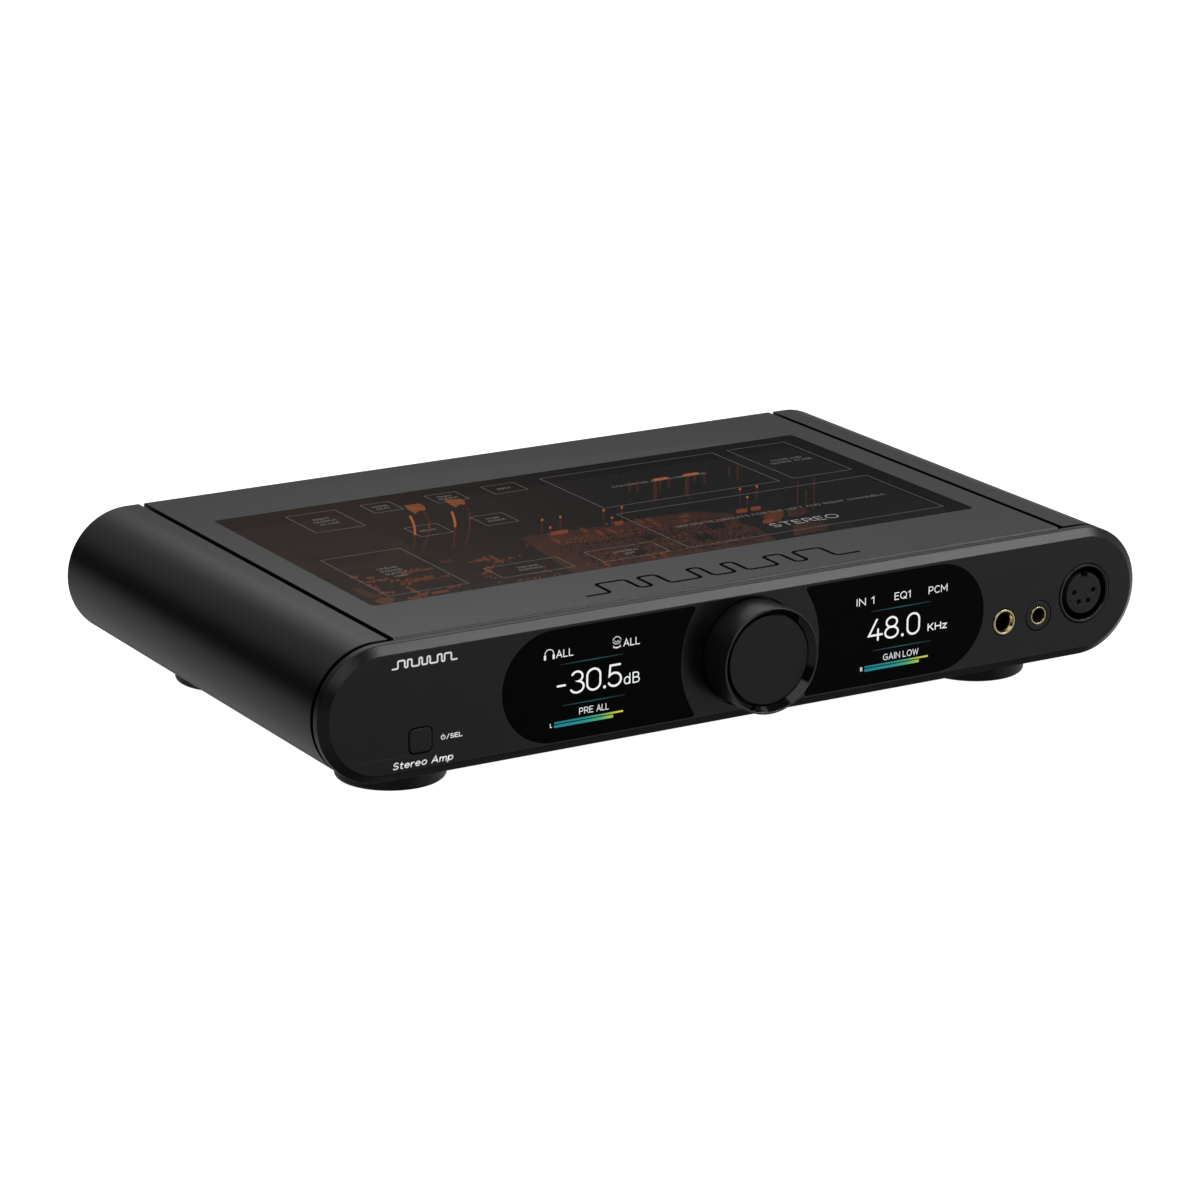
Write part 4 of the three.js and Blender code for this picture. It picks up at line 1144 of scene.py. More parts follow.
def rear_print():
    """Plain reference numbers and generic socket words, printed on the rear panel."""
    g = Geo()
    h0, h1 = 200.58, 200.63

    def back(u, v, h):
        return (-u, h, v)
    for x, z, wd, w in ((-112, 38.6, "AC IN", 9.0), (-80, 38.6, "I/O", 5.0), (-20, 34.5, "OPT IN", 10.0), (6, 34.5, "IN 1", 6.4), (34, 34.5, "COAX IN", 12.0), (118, 40.2, "OUT R", 9.4), (86, 40.2, "OUT L", 9.4), (48.4, 33.6, "L", 1.3), (48.4, 13.0, "R", 1.5)):
        s = wd
        text(g, s, -x - w / 2, -x + w / 2, z, z + 1.9, 0.26, h0, h1, back)
    finish_obj("rear_print_labels", g, ["print"], weighted=False)


# ------------------------------------------------------------------ knob and button
def knob():
    g = Geo()
    prof = [(0, -10.45), (16.45, -10.45), (16.58, -10.55), (16.6, -10.7), (16.6, -11.45), (16.63, -11.55), (16.7, -11.66), (18.52, -13.70), (18.64, -13.80), (18.8, -13.88), (19.0, -13.9), (19.14, -13.86), (19.27, -13.74), (19.33, -13.6), (19.35, -13.4),
            (19.35, 0.42), (19.31, 0.62), (19.2, 0.75), (19.0, 0.8), (16.4, 0.8), (16.4, -8.0), (6.8, -8.0), (6.8, -3.7), (6.7, -3.6), (3.35, -3.6), (3.25, -3.7), (3.25, -9.4), (0, -9.4)]
    mats = [0] * (len(prof) - 1)
    for i, (a, b) in enumerate(zip(prof, prof[1:])):
        if -11.4 > a[1] > -13.5 and b[0] < 18.6 and b[1] < a[1]:
            mats[i] = 1
        elif a[1] < -13.5 and b[1] < -13.5:
            mats[i] = 2
    g.lathe(prof, 0, 24.4, 160, mats=mats)
    ob = finish_obj("volume_knob_body", g, ["knob", "rim", "lip"], body="knob", replaces=["volume_knob"], angle=32)
    # the way in for the set screw's key, from below
    c = Geo()
    c.lathe([(0, 24.4 - 22.0), (1.75, 24.4 - 22.0), (1.75, 24.4 - 5.0), (0, 24.4 - 5.0)], 0, -5.6, 32, axis="Z")
    me = bpy.data.meshes.new("cutter")
    me.from_pydata([W(*p) for p in c.v], [], c.f)
    cut = bpy.data.objects.new("cutter", me)
    bpy.context.scene.collection.objects.link(cut)
    bm = bmesh.new()
    bm.from_mesh(me)
    bmesh.ops.recalc_face_normals(bm, faces=bm.faces)
    bm.to_mesh(me)
    bm.free()
    mod = ob.modifiers.new("hole", "BOOLEAN")
    mod.operation = "DIFFERENCE"
    mod.solver = "EXACT"
    mod.object = cut
    ob.modifiers.move(1, 0)
    ob.modifiers.remove(ob.modifiers[1])
    bpy.context.view_layer.update()
    dg = bpy.context.evaluated_depsgraph_get()
    new = bpy.data.meshes.new_from_object(ob.evaluated_get(dg))
    ob.modifiers.clear()
    ob.data = new
    new.polygons.foreach_set("use_smooth", [True] * len(new.polygons))
    new.set_sharp_from_angle(angle=math.radians(32))
    w = ob.modifiers.new("weighted", "WEIGHTED_NORMAL")
    w.keep_sharp = True
    bpy.data.objects.remove(cut)
    g = Geo()
    g.lathe([(0, -12.0), (15.9, -12.0), (16.1, -11.96), (16.22, -11.86), (16.25, -11.7), (16.25, -10.5), (0, -10.5)], 0, 24.4, 128)
    finish_obj("volume_knob_disc", g, ["disc"], body="knob", replaces=["knob_face_disc"], angle=50)


def button():
    g = Geo()
    lv = [(-0.15, 0.46), (-0.12, 0.28), (-0.02, 0.1), (0.2, 0.0), (5.8, 0.0)]
    o = [g.loop(rr(-136.4, 9.05, -127.8, 17.95, 2.0, -i, 8), y, XZ) for y, i in lv]
    g.walls(o)
    g.cap([o[0]])
    g.cap([o[-1]])
    g.prism(rrect(-137.6, 7.85, -126.6, 19.15, 1.2, 5), 5.42, 6.4, XZ, 0, 0.1, True)
    finish_obj("select_button_cap", g, ["panel"], body="select_key", replaces=["select_button"])


# ------------------------------------------------------------------ front sockets
def front_sockets():
    g = Geo()
    x, z = 109.8, 18.3
    g.lathe([(3.25, 5.0), (3.25, 1.2), (3.3, 0.95), (3.42, 0.75), (3.85, -0.02), (3.93, -0.13), (4.05, -0.21), (4.2, -0.25), (4.5, -0.25), (4.66, -0.21), (4.78, -0.1), (4.85, 0.08), (4.85, 5.0)], x, z, 72, closed=True)
    finish_obj("jack_large_bushing", g, ["gold"], replaces=["jack_635_bushing"], angle=40)
    g = Geo()
    x, z = 125.2, 18.5
    g.lathe([(2.74, 5.0), (2.74, 0.16), (2.78, 0.02), (2.88, -0.08), (3.02, -0.13), (3.14, -0.15), (3.28, -0.12), (3.4, -0.03), (3.44, 0.12), (3.44, 5.0)], x, z, 60, closed=True)
    b = Geo()
    b.lathe([(2.3, 5.0), (2.3, 0.75), (2.36, 0.55), (2.5, 0.42), (2.66, 0.36), (2.72, 0.42), (2.72, 5.0)], x, z, 60, closed=True)
    finish_obj("jack_small_liner", b, ["can"], angle=40)
    finish_obj("jack_small_bushing", g, ["gold"], replaces=["jack_44_bushing"], angle=40)
    g = Geo()
    g.lathe([(3.52, 4.8), (3.52, 0.35), (3.6, 0.16), (3.75, 0.04), (3.95, -0.01), (5.3, -0.01), (5.45, 0.03), (5.56, 0.14), (5.6, 0.3), (5.6, 4.8)], x, z, 64, closed=True)
    finish_obj("jack_small_collar", g, ["panel"], replaces=["jack_44_collar"], angle=40)
    # contact springs deep in both bores
    g = Geo()
    for cx, cz, r in ((109.8, 18.3, 3.25), (125.2, 18.5, 2.3)):
        for k in range(3):
            a = 2 * math.pi * k / 3 + 0.6
            yy = 12 + k * 5
            ux, uz = math.cos(a), math.sin(a)
            g.prism([(cx + ux * (r - 0.25) - uz * 0.6, cz + uz * (r - 0.25) + ux * 0.6), (cx + ux * (r - 0.25) + uz * 0.6, cz + uz * (r - 0.25) - ux * 0.6),
                     (cx + ux * (r + 0.1) + uz * 0.6, cz + uz * (r + 0.1) - ux * 0.6), (cx + ux * (r + 0.1) - uz * 0.6, cz + uz * (r + 0.1) + ux * 0.6)], yy, yy + 4)
    finish_obj("jack_contact_springs", g, ["gold"])
    # round four-pin socket
    g = Geo()
    x, z = 145.7, 24.0
    g.lathe([(9.76, 15.0), (9.76, 0.55), (9.8, 0.35), (9.92, 0.1), (10.05, -0.1), (10.2, -0.2), (10.4, -0.25), (10.8, -0.25), (10.98, -0.21), (11.12, -0.08), (11.18, 0.1), (11.18, 22.0), (8.2, 22.0), (8.2, 15.0)], x, z, 112, closed=True)
    finish_obj("round_socket_shell", g, ["shell_dark"], replaces=["headphone_xlr_shell"], angle=40)
    g = Geo()
    R = 7.84

    def key(k):
        """The insert's outline with its keyway, grown by k."""
        r = R + k
        hw = 1.5 - k
        a = math.degrees(math.asin(hw / r))
        pts = arc(x, z, r, 90 + a, 450 - a, 90)
        return pts + [(x + hw, z + 6.1 + 0.3 + k), (x + hw - 0.3, z + 6.1 + k), (x - hw + 0.3, z + 6.1 + k), (x - hw, z + 6.1 + 0.3 + k)]
    lv = [(0.1, -0.35), (0.16, -0.14), (0.35, 0.0), (9.0, 0.0)]
    o = [g.loop(key(k), y, XZ) for y, k in lv]
    g.walls(o)
    front = [o[0]]
    backs = [o[-1]]
    for hx, hz in ((-4.3, 0.6), (4.3, 0.6), (-2.1, -3.2), (2.1, -3.2)):
        lp = [g.loop(circle(x + hx, z + hz, r, 24), y, XZ) for y, r in ((0.1, 1.25), (0.22, 1.08), (0.45, 0.95), (9.0, 0.95))]
        g.walls(lp)
        front.append(lp[0])
        backs.append(lp[-1])
    g.cap(front)
    g.cap(backs)
    g.lathe([(0, 9.0), (R, 9.0), (R, 24.0), (0, 24.0)], x, z, 90)
    # a raised ring and a small centre boss on the insert's face
    g.lathe([(5.9, 0.12), (5.95, 0.0), (6.25, 0.0), (6.3, 0.12)], x, z, 80, closed=True)
    g.lathe([(0.7, 0.14), (0.75, -0.02), (1.0, -0.05), (1.15, 0.14)], x, z - 0.2, 28, closed=True)
    finish_obj("round_socket_insert", g, ["plastic_grey"], replaces=["headphone_xlr_insert"], angle=40)
    g = Geo()
    for hx, hz in ((-4.3, 0.6), (4.3, 0.6), (-2.1, -3.2), (2.1, -3.2)):
        g.lathe([(0.55, 2.2), (0.62, 2.05), (0.85, 2.05), (0.92, 2.2), (0.92, 8.6), (0.55, 8.6)], x + hx, z + hz, 20, closed=True)
    finish_obj("round_socket_contacts", g, ["gold"])


# ------------------------------------------------------------------ feet
FEET = {"foot_front_left": (-123.2, 38), "foot_front_right": (123.2, 38), "foot_rear_left": (-123.2, 164), "foot_rear_right": (123.2, 164)}


def feet():
    for nm, (x, y) in FEET.items():
        g = Geo()
        z0, z1 = -11.2, -0.3
        # turned body
        g.lathe([(5.2, z0 + 0.3), (5.35, z0 + 0.1), (5.6, z0 + 0.02), (13.2, z0 + 0.02), (13.4, z0 + 0.5), (13.4, z0 + 1.1), (17.6, z0 + 1.1), (17.6, z0 + 0.5), (17.8, z0 + 0.1), (18.4, z0 + 0.1), (18.9, z0 + 0.22), (19.3, z0 + 0.55), (19.52, z0 + 0.95), (19.6, z0 + 1.4),
                 (19.6, z1 - 1.9), (19.55, z1 - 1.75), (19.25, z1 - 1.6), (19.25, z1 - 1.1), (19.5, z1 - 0.95), (19.6, z1 - 0.8), (19.6, z1 - 0.3), (19.5, z1 - 0.1), (19.3, z1), (0, z1), (0, z0 + 3.2), (5.0, z0 + 3.2), (5.2, z0 + 3.0)], x, y, 112, axis="Z", closed=False)
        # close the recess wall
        n = 112
        g.bridge(list(range(len(g.v) - n, len(g.v))), list(range(0, n)))
        finish_obj(nm + "_body", g, ["plastic"], replaces=[nm], angle=40)
        g = Geo()
        g.lathe([(13.5, z0 + 1.0), (13.5, z0 + 0.25), (13.8, z0), (17.2, z0), (17.5, z0 + 0.25), (17.5, z0 + 1.0)], x, y, 96, axis="Z", closed=True)
        finish_obj(nm + "_pad", g, ["rubber"], angle=40)
        g = Geo()
        screw(g, x, y, z0 + 2.1, 3.6, "Z", -1, 1.5, 0, 1.1)
        finish_obj(nm + "_screw", g, ["steel"], angle=40)


# ------------------------------------------------------------------ rear sockets
def rear_sockets():
    for nm, x in (("left", 86.0), ("right", 118.0)):
        g = Geo()
        lv = [(202.9, 0.35), (202.8, 0.1), (202.55, 0.0), (200.9, 0.0)]
        o = [g.loop(rr(x - 13, CZ - 15.5, x + 13, CZ + 15.5, 3.0, -i, 7), y, XZ) for y, i in lv]
        g.walls(o)
        h = [g.loop(circle(x, CZ, r, 72), y, XZ) for y, r in ((202.9, 9.75), (202.75, 9.5), (202.4, 9.3), (186.0, 9.3))]
        g.walls(h)
        screws = []
        for sx, sz in ((-9.6, 12.4), (9.6, -12.4)):
            s = [g.loop(circle(x + sx, CZ + sz, r, 28), y, XZ) for y, r in ((202.9, 2.6), (201.8, 1.6), (201.3, 1.6))]
            g.walls(s)
            g.cap([s[-1]])
            screws.append(s[0])
        g.cap([o[0], h[0]] + screws)
        cup = g.loop(circle(x, CZ, 11.6, 72), 200.9, XZ)
        cup2 = g.loop(circle(x, CZ, 11.6, 72), 184.5, XZ)
        g.bridge(cup, cup2)
        g.cap([o[-1], cup])
        g.cap([cup2])
        g.cap([h[-1]])
        finish_obj("balanced_out_%s_housing" % nm, g, ["plastic"], replaces=["xlr_out_" + nm], angle=40)
        g = Geo()
        for px, pz in ((-3.9, 1.7), (3.9, 1.7), (0, -4.1)):
            g.lathe([(1.2, 186.05), (1.2, 198.2), (1.05, 198.75), (0.6, 199.0), (0, 199.0)], x + px, CZ + pz, 20)
            g.lathe([(0, 186.05), (1.2, 186.05)], x + px, CZ + pz, 20)
        finish_obj("balanced_out_%s_pins" % nm, g, ["nickel"])
        g = Geo()
        for sx, sz in ((-9.6, 12.4), (9.6, -12.4)):
            screw(g, x + sx, CZ + sz, 201.7, 2.0, "Y", 1, 0.9, 0, 0.8)
        finish_obj("balanced_out_%s_screws" % nm, g, ["steel_black"])
        g = Geo()
        g.prism(rrect(x - 3.2, CZ + 10.4, x + 3.2, CZ + 13.6, 0.8, 4), 203.5, 202.85, XZ, 0, 0.2)
        finish_obj("balanced_out_%s_latch" % nm, g, ["nickel"])
    for nm, x, z, ring in (("phono_out_upper", 60, 34.6, "white_ring"), ("phono_out_lower", 60, 14.0, "red_ring"), ("coaxial_in", 34, CZ, "orange_ring")):
        g = Geo()
        g.lathe([(0, 188.0), (4.3, 188.0), (4.3, 200.9), (6.2, 200.9), (6.2, 202.2), (6.05, 202.45), (5.8, 202.5), (4.15, 202.5), (4.15, 210.1), (4.05, 210.33), (3.85, 210.4), (3.45, 210.4), (3.3, 210.3), (3.25, 210.1), (3.25, 203.6), (0, 203.6)], x, z, 56)
        finish_obj(nm + "_barrel", g, ["gold"], replaces=[nm], angle=40)
        g = Geo()
        g.lathe([(3.15, 203.7), (3.15, 209.2), (3.0, 209.4), (1.9, 209.4), (1.75, 209.2), (1.65, 208.9), (1.65, 203.7)], x, z, 40, closed=True)
        finish_obj(nm + "_insulator", g, [ring], angle=40)
        g = Geo()
        g.lathe([(4.25, 202.55), (6.1, 202.55), (6.3, 202.7), (6.3, 203.5), (6.1, 203.7), (4.25, 203.7)], x, z, 6, closed=True)
        finish_obj(nm + "_nut", g, ["gold"], angle=25)
    # mains inlet: flange with rounded corners, octagonal cavity, three blades
    g = Geo()
    x = -112

    def octo(hx, hz, c):
        return [(x - hx, CZ - hz + c), (x - hx + c, CZ - hz), (x + hx - c, CZ - hz), (x + hx, CZ - hz + c), (x + hx, CZ + hz - c), (x + hx - c, CZ + hz), (x - hx + c, CZ + hz), (x - hx, CZ + hz - c)]
    lv = [(203.5, 0.45), (203.37, 0.13), (203.05, 0.0), (200.9, 0.0)]
    o = [g.loop(rr(x - 15.4, CZ - 12, x + 15.4, CZ + 12, 2.6, -i, 6), y, XZ) for y, i in lv]
    g.walls(o)
    h = [g.loop(octo(12.1 + e, 8.4 + e, 3.4), y, XZ) for y, e in ((203.5, 0.4), (203.1, 0.0), (186.0, 0.0))]
    g.walls(h)
    g.cap([o[0], h[0]])
    b = [g.loop(octo(13.6, 9.9, 3.9), y, XZ) for y in (200.9, 182.5)]
    g.bridge(b[0], b[1])
    g.cap([o[-1], b[0]])
    g.cap([b[1]])
    g.cap([h[-1]])
    finish_obj("mains_inlet_housing", g, ["plastic"], replaces=["mains_inlet"], angle=40)
    g = Geo()
    for px, pz in ((-7.0, -1.6), (7.0, -1.6), (0, 2.8)):
        g.prism(rrect(x + px - 1.0, CZ + pz - 2.0, x + px + 1.0, CZ + pz + 2.0, 0.25, 3), 200.0, 186.05, XZ, 0, 0.3)
    finish_obj("mains_inlet_blades", g, ["nickel"])


def carried_over():
    """CAD nodes whose shape is right get their finish here."""
    by = {
        "plastic": ["mains_switch_frame", "mains_switch_rocker", "usb_socket", "optical_socket", "optical_flap", "tact_switch_body", "tact_switch_stem", "jack_635_body", "jack_44_body", "encoder_rotor", "encoder_push_plunger"],
        "steel": ["encoder_shaft", "encoder_nut", "knob_set_screw", "encoder_housing"],
        "clamp": ["transformer_clamp"],
        "tinned": ["converter_shield"], "chip": ["display_module_left", "display_module_right"],
        "board": ["front_board", "jack_board", "power_board", "main_board"],
        "heatsink": ["amplifier_heatsink"],
    }
    for mt, names in by.items():
        for n in names:
            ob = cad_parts.get(n)
            if ob is None:
                continue
            if not ob.material_slots:
                ob.data.materials.append(MAT[mt])
            for s in ob.material_slots:
                s.material = MAT[mt]


# ------------------------------------------------------------------ inside, seen through the window
rnd = random.Random(20)


def parts_rows(g, x0, x1, z, rows, fill=0.7, lo=0.7, hi=2.4, wy=0.9, hz=(0.5, 1.3), jitter=0.25):
    for y in rows:
        x = x0 + rnd.random() * 2
        while x < x1:
            ln = lo + (hi - lo) * rnd.random() ** 1.8
            if rnd.random() < fill:
                ww = wy * (0.6 + 0.8 * rnd.random())
                yy = y + (rnd.random() - 0.5) * 2 * jitter
                h = hz[0] + (hz[1] - hz[0]) * rnd.random()
                g.box(x, yy - ww / 2, z + 0.01, min(x1, x + ln), yy + ww / 2, z + h)
            x += ln + 0.5 + rnd.random() * 1.2


def scatter(g, lines, z, per=0.62, spread=0.95, lo=0.4, hi=1.25, wd=(0.3, 0.65), hz=(0.3, 0.9), fill=0.85):
    """Small chip parts along short lines (x0, y0, x1, y1) on a board whose top is at z."""
    for x0, y0, x1, y1 in lines:
        n = max(2, int(math.hypot(x1 - x0, y1 - y0) / per) + 1)
        for k in range(n):
            a, b, c, d, e, f = [rnd.random() for _ in range(6)]
            if f > fill:
                continue
            t = (k + 0.5) / n
            w = lo + (hi - lo) * a * a
            h = wd[0] + (wd[1] - wd[0]) * b
            cx, cy = x0 + (x1 - x0) * t + (c - 0.5) * 0.5, y0 + (y1 - y0) * t + (d - 0.5) * 2 * spread
            g.box(cx - w / 2, cy - h / 2, z + 0.02, cx + w / 2, cy + h / 2, z + hz[0] + (hz[1] - hz[0]) * e)


def interior():
    # upper board on its spacers
    zt = 30.0
    g = Geo()
    g.prism(rrect(-55.0, 90.0, 110.0, 149.0, 1.0, 4), zt, zt - 1.6, XY, 0, 0.08, True)
    for x, y in ((-51, 94), (-51, 145), (10, 94), (30, 146), (106, 94), (106, 145)):
        g.lathe([(0, 10.6), (2.6, 10.6), (2.6, zt - 1.7), (0, zt - 1.7)], x, y, 6, m=1, axis="Z")
    finish_obj("upper_board_plate", g, ["board", "tinned"], replaces=["upper_board"], weighted=False)
    g = Geo()
    for x, y in ((-51, 94), (-51, 145), (10, 94), (30, 146), (106, 94), (106, 145)):
        g.lathe([(0, zt + 0.02), (2.3, zt + 0.02), (2.2, zt + 0.8), (1.6, zt + 1.3), (0, zt + 1.4)], x, y, 20, axis="Z")
    finish_obj("upper_board_screws", g, ["steel_black"])
    # copper pours on it, with a painted warm glow; the lands carry a brighter painted glow
    g, h = Geo(), Geo()
    for poly in ([(-15.2, 92.0), (74.0, 92.0), (75.5, 104.0), (77.6, 115.7), (75.3, 123.4), (79.9, 137.0), (67.0, 146.8), (45.0, 147.9), (24.5, 146.0), (12.0, 147.0), (-8.0, 148.4)],
                 [(96.0, 122.2), (100.8, 121.1), (106.6, 124.4), (108.8, 129.5), (102.5, 132.5)],
                 [(83.4, 98.9), (98.5, 99.9), (103.8, 106.4), (100.1, 111.8), (92.0, 113.1)]):
        g.prism(poly, zt + 0.07, zt + 0.01, XY)
    h.prism([(84.5, 121.5), (89.8, 118.4), (96.2, 125.4), (98.6, 130.5), (92.1, 133.4)], zt + 0.07, zt + 0.01, XY)
    h.prism([(-107.2, 79.1), (-102.9, 81.4), (-99.5, 80.2), (-100.2, 76.7), (-103.1, 73.7), (-106.6, 74.6)], 38.09, 38.03, XY)
    g.prism([(-106.7, 96.9), (-104.2, 94.7), (-102.7, 82.3), (-107.3, 82.5), (-107.5, 88.0)], 38.09, 38.03, XY)
    finish_obj("board_copper_pours", g, ["pour"], weighted=False)
    finish_obj("board_copper_lands", h, ["pour_bright"], weighted=False)
    # regulator board over the reservoir capacitors
    g = Geo()
    g.prism(rrect(-118.0, 62.0, -58.0, 109.0, 1.0, 4), 38.0, 36.4, XY, 0, 0.08, True)
    finish_obj("regulator_board", g, ["board"], weighted=False)
    g = Geo()
    for x, y in ((-115, 65), (-61, 65), (-115, 106), (-61, 106)):
        g.lathe([(0, 10.6), (2.4, 10.6), (2.4, 36.3), (0, 36.3)], x, y, 6, axis="Z")
        g.lathe([(0, 38.02), (2.2, 38.02), (2.1, 38.7), (1.5, 39.1), (0, 39.2)], x, y, 20, axis="Z")
    finish_obj("regulator_board_spacers", g, ["steel_black"])

    # small parts, with a painted warm glow
    g = Geo()
    scatter(g, [(-82.4, 105.2, -69.9, 104.6), (-85.6, 101.0, -78.4, 102.5), (-96.6, 104.0, -93.5, 104.6), (-101.0, 100.9, -89.9, 99.7),
                (-91.5, 96.8, -83.6, 94.5), (-84.6, 92.8, -69.7, 91.8), (-84.6, 94.6, -74.0, 94.2), (-100.0, 96.8, -98.9, 88.9), (-89.8, 91.0, -85.9, 91.3),
                (-89.6, 86.1, -88.6, 74.0), (-91.0, 76.2, -85.9, 78.0), (-77.3, 79.4, -71.9, 79.2), (-96.0, 75.1, -90.4, 74.0), (-102.3, 85.0, -96.5, 84.1)], 38.0)
    g.box(-85.4, 75.9, 38.02, -78.8, 76.8, 38.7, edge=0.1)
    for x, y in ((-101.0, 109.0 - 1.2), (-99.6, 106.9)):
        g.box(x - 0.6, y - 0.5, 38.02, x + 0.6, y + 0.5, 38.9)
    finish_obj("regulator_board_small_parts", g, ["copper_painted_glow"], weighted=False)
    g = Geo()
    scatter(g, [(-54.3, 108.6, -54.1, 100.0), (-53.9, 97.3, -51.2, 97.4), (-49.4, 100.0, -43.2, 98.7), (-49.8, 133.9, -44.9, 132.5),
                (-53.5, 125.6, -44.9, 127.1), (-41.7, 127.7, -34.4, 128.9), (-49.4, 110.7, -39.3, 114.6), (-40.9, 117.5, -36.5, 118.7), (-49.1, 118.8, -48.4, 115.1)], zt)
    for x0, y0, x1, y1 in ((-34.2, 125.4, -33.6, 130.7), (-31.2, 123.1, -30.5, 130.5), (-54.2, 101.0, -53.6, 107.0)):
        g.box(x0, y0, zt + 0.02, x1, y1, zt + 0.8)
    scatter(g, [(-38.0, 98.4, -18.0, 97.6), (-30.0, 105.0, -20.0, 104.0), (-52.0, 113.0, -42.0, 106.0), (-36.0, 121.0, -20.0, 126.0)], zt, 1.7)
    finish_obj("control_board_small_parts", g, ["copper_painted_glow"], weighted=False)
    g = Geo()
    scatter(g, [(4.0, 135.7, 17.6, 136.6), (28.8, 135.8, 44.5, 135.7)], zt, 1.5, 0.15, 0.6, 0.9)
    scatter(g, [(1.3, 132.1, 18.4, 133.2), (8.3, 131.1, 22.9, 131.6), (27.9, 130.8, 45.2, 131.8)], zt, 1.7, 0.5, 0.4, 1.0)
    scatter(g, [(-12.5, 136.8, -10.3, 136.5), (48.0, 128.0, 72.0, 128.6), (30.0, 119.0, 70.0, 119.6), (2.0, 112.0, 44.0, 111.4), (-6.0, 104.0, 66.0, 104.6)], zt, 3.0, 0.9, 0.4, 1.4)
    finish_obj("output_board_small_parts", g, ["copper_painted_glow"], weighted=False)
    g = Geo()
    for y in (133.6, 129.0, 126.2, 122.4, 118.2, 115.6, 111.0, 108.4, 104.8, 101.2):
        scatter(g, [(-2.0 if y < 130 else 20.0, y, 72.0, y + 0.4)], zt + 0.06, 1.35, 0.7, 0.4, 1.2, (0.4, 0.8), (0.25, 0.7), 0.62)
    for k in range(26):
        x0, y0 = -6.0 + 76.0 * rnd.random(), 97.0 + 44.0 * rnd.random()
        ln = 3.0 + 9.0 * rnd.random()
        if rnd.random() < 0.6:
            g.box(x0, y0, zt + 0.08, min(74.0, x0 + ln), y0 + 0.32, zt + 0.12)
        else:
            g.box(x0, y0, zt + 0.08, x0 + 0.32, min(143.0, y0 + ln), zt + 0.12)
    for x, y, w, h in ((20, 108, 5, 5), (52, 113, 6, 4), (64, 124, 5, 5), (34, 123, 4, 4)):
        g.box(x - w / 2, y - h / 2, zt + 0.08, x + w / 2, y + h / 2, zt + 1.1, edge=0.12)
    finish_obj("output_board_dark_parts", g, ["chip"], weighted=False)
    # copper links on the upper board, made bright by a painted glow
    g = Geo()
    for x0, x1, y, w in ((3.2, 11.3, 145.2, 0.62), (28.0, 35.8, 145.3, 0.62), (81.7, 86.3, 136.6, 0.85), (88.6, 92.8, 136.9, 0.85), (82.6, 87.4, 119.1, 0.55)):
        g.prism(rrect(x0, y - w, x1, y + w, min(0.7, w * 0.8), 5), zt + 1.2, zt + 0.09, XY, 0, 0.2)
    finish_obj("board_links", g, ["copper_bar"], weighted=False)
    g = Geo()
    for x0, y0, x1, y1 in ((1.0, 133.7, 1.0, 139.9), (17.1, 140.9, 17.7, 146.0), (20.8, 134.1, 21.0, 140.5), (25.8, 134.4, 26.3, 140.6), (41.9, 141.2, 42.6, 146.0),
                           (46.4, 142.2, 47.1, 145.4), (45.4, 134.5, 46.4, 139.7), (57.7, 134.4, 58.2, 136.9), (1.0, 97.8, 1.6, 102.4), (21.0, 99.3, 22.0, 103.1), (25.8, 98.3, 26.6, 102.2)):
        g.box((x0 + x1) / 2 - 0.45, y0, zt + 0.08, (x0 + x1) / 2 + 0.45, y1, zt + 0.9, edge=0.12)
    g.box(58.6, 140.6, zt + 0.08, 62.9, 141.6, zt + 0.9, edge=0.12)
    finish_obj("board_short_links", g, ["copper_painted_glow"], weighted=False)
    # pins in groups of three; the tips carry a bright painted glow, a painted highlight, and the stems a dim one
    tips, stems = Geo(), Geo()
    for x, y in ((1.8, 148.2), (9.8, 148.2), (-0.9, 137.5), (28.9, 148.2), (37.0, 148.2), (26.3, 137.7), (90.6, 148.2), (98.4, 148.2), (86.8, 137.0)):
        stems.lathe([(0, zt + 0.08), (0.24, zt + 0.08), (0.24, 33.2), (0.42, 33.3), (0.42, 33.8), (0.24, 33.9), (0.24, 35.2), (0, 35.2)], x, y, 10, axis="Z")
        tips.lathe([(0, 35.22), (0.40, 35.25), (0.46, 35.5), (0.38, 35.95), (0, 36.1)], x, y, 12, axis="Z")
    for x, z1 in ((117.4, 35.4), (121.4, 31.2), (125.2, 35.4)):
        stems.lathe([(0, 10.5), (0.28, 10.5), (0.28, z1), (0, z1)], x, 148.0, 10, axis="Z")
    finish_obj("output_pin_stems", stems, ["copper_painted_glow_dim"], weighted=False)
    finish_obj("output_pin_tips", tips, ["ember"], weighted=False)
    # clips over the heatsink; their tops carry a bright painted glow, a painted highlight, and the stems a dim one
    a, b = Geo(), Geo()
    for x0, x1, xs in ((60.1, 66.8, 61.2), (73.8, 80.8, 75.6)):
        a.prism(rrect(x0, 162.2, x1, 163.8, 0.7, 4), 40.1, 39.6, XY, 0, 0.15)
        b.box(xs - 0.7, 162.7, 28.5, xs + 0.7, 163.3, 39.58)
    finish_obj("heatsink_clip_tops", a, ["ember"], weighted=False)
    finish_obj("heatsink_clip_stems", b, ["copper_painted_glow_dim"], weighted=False)
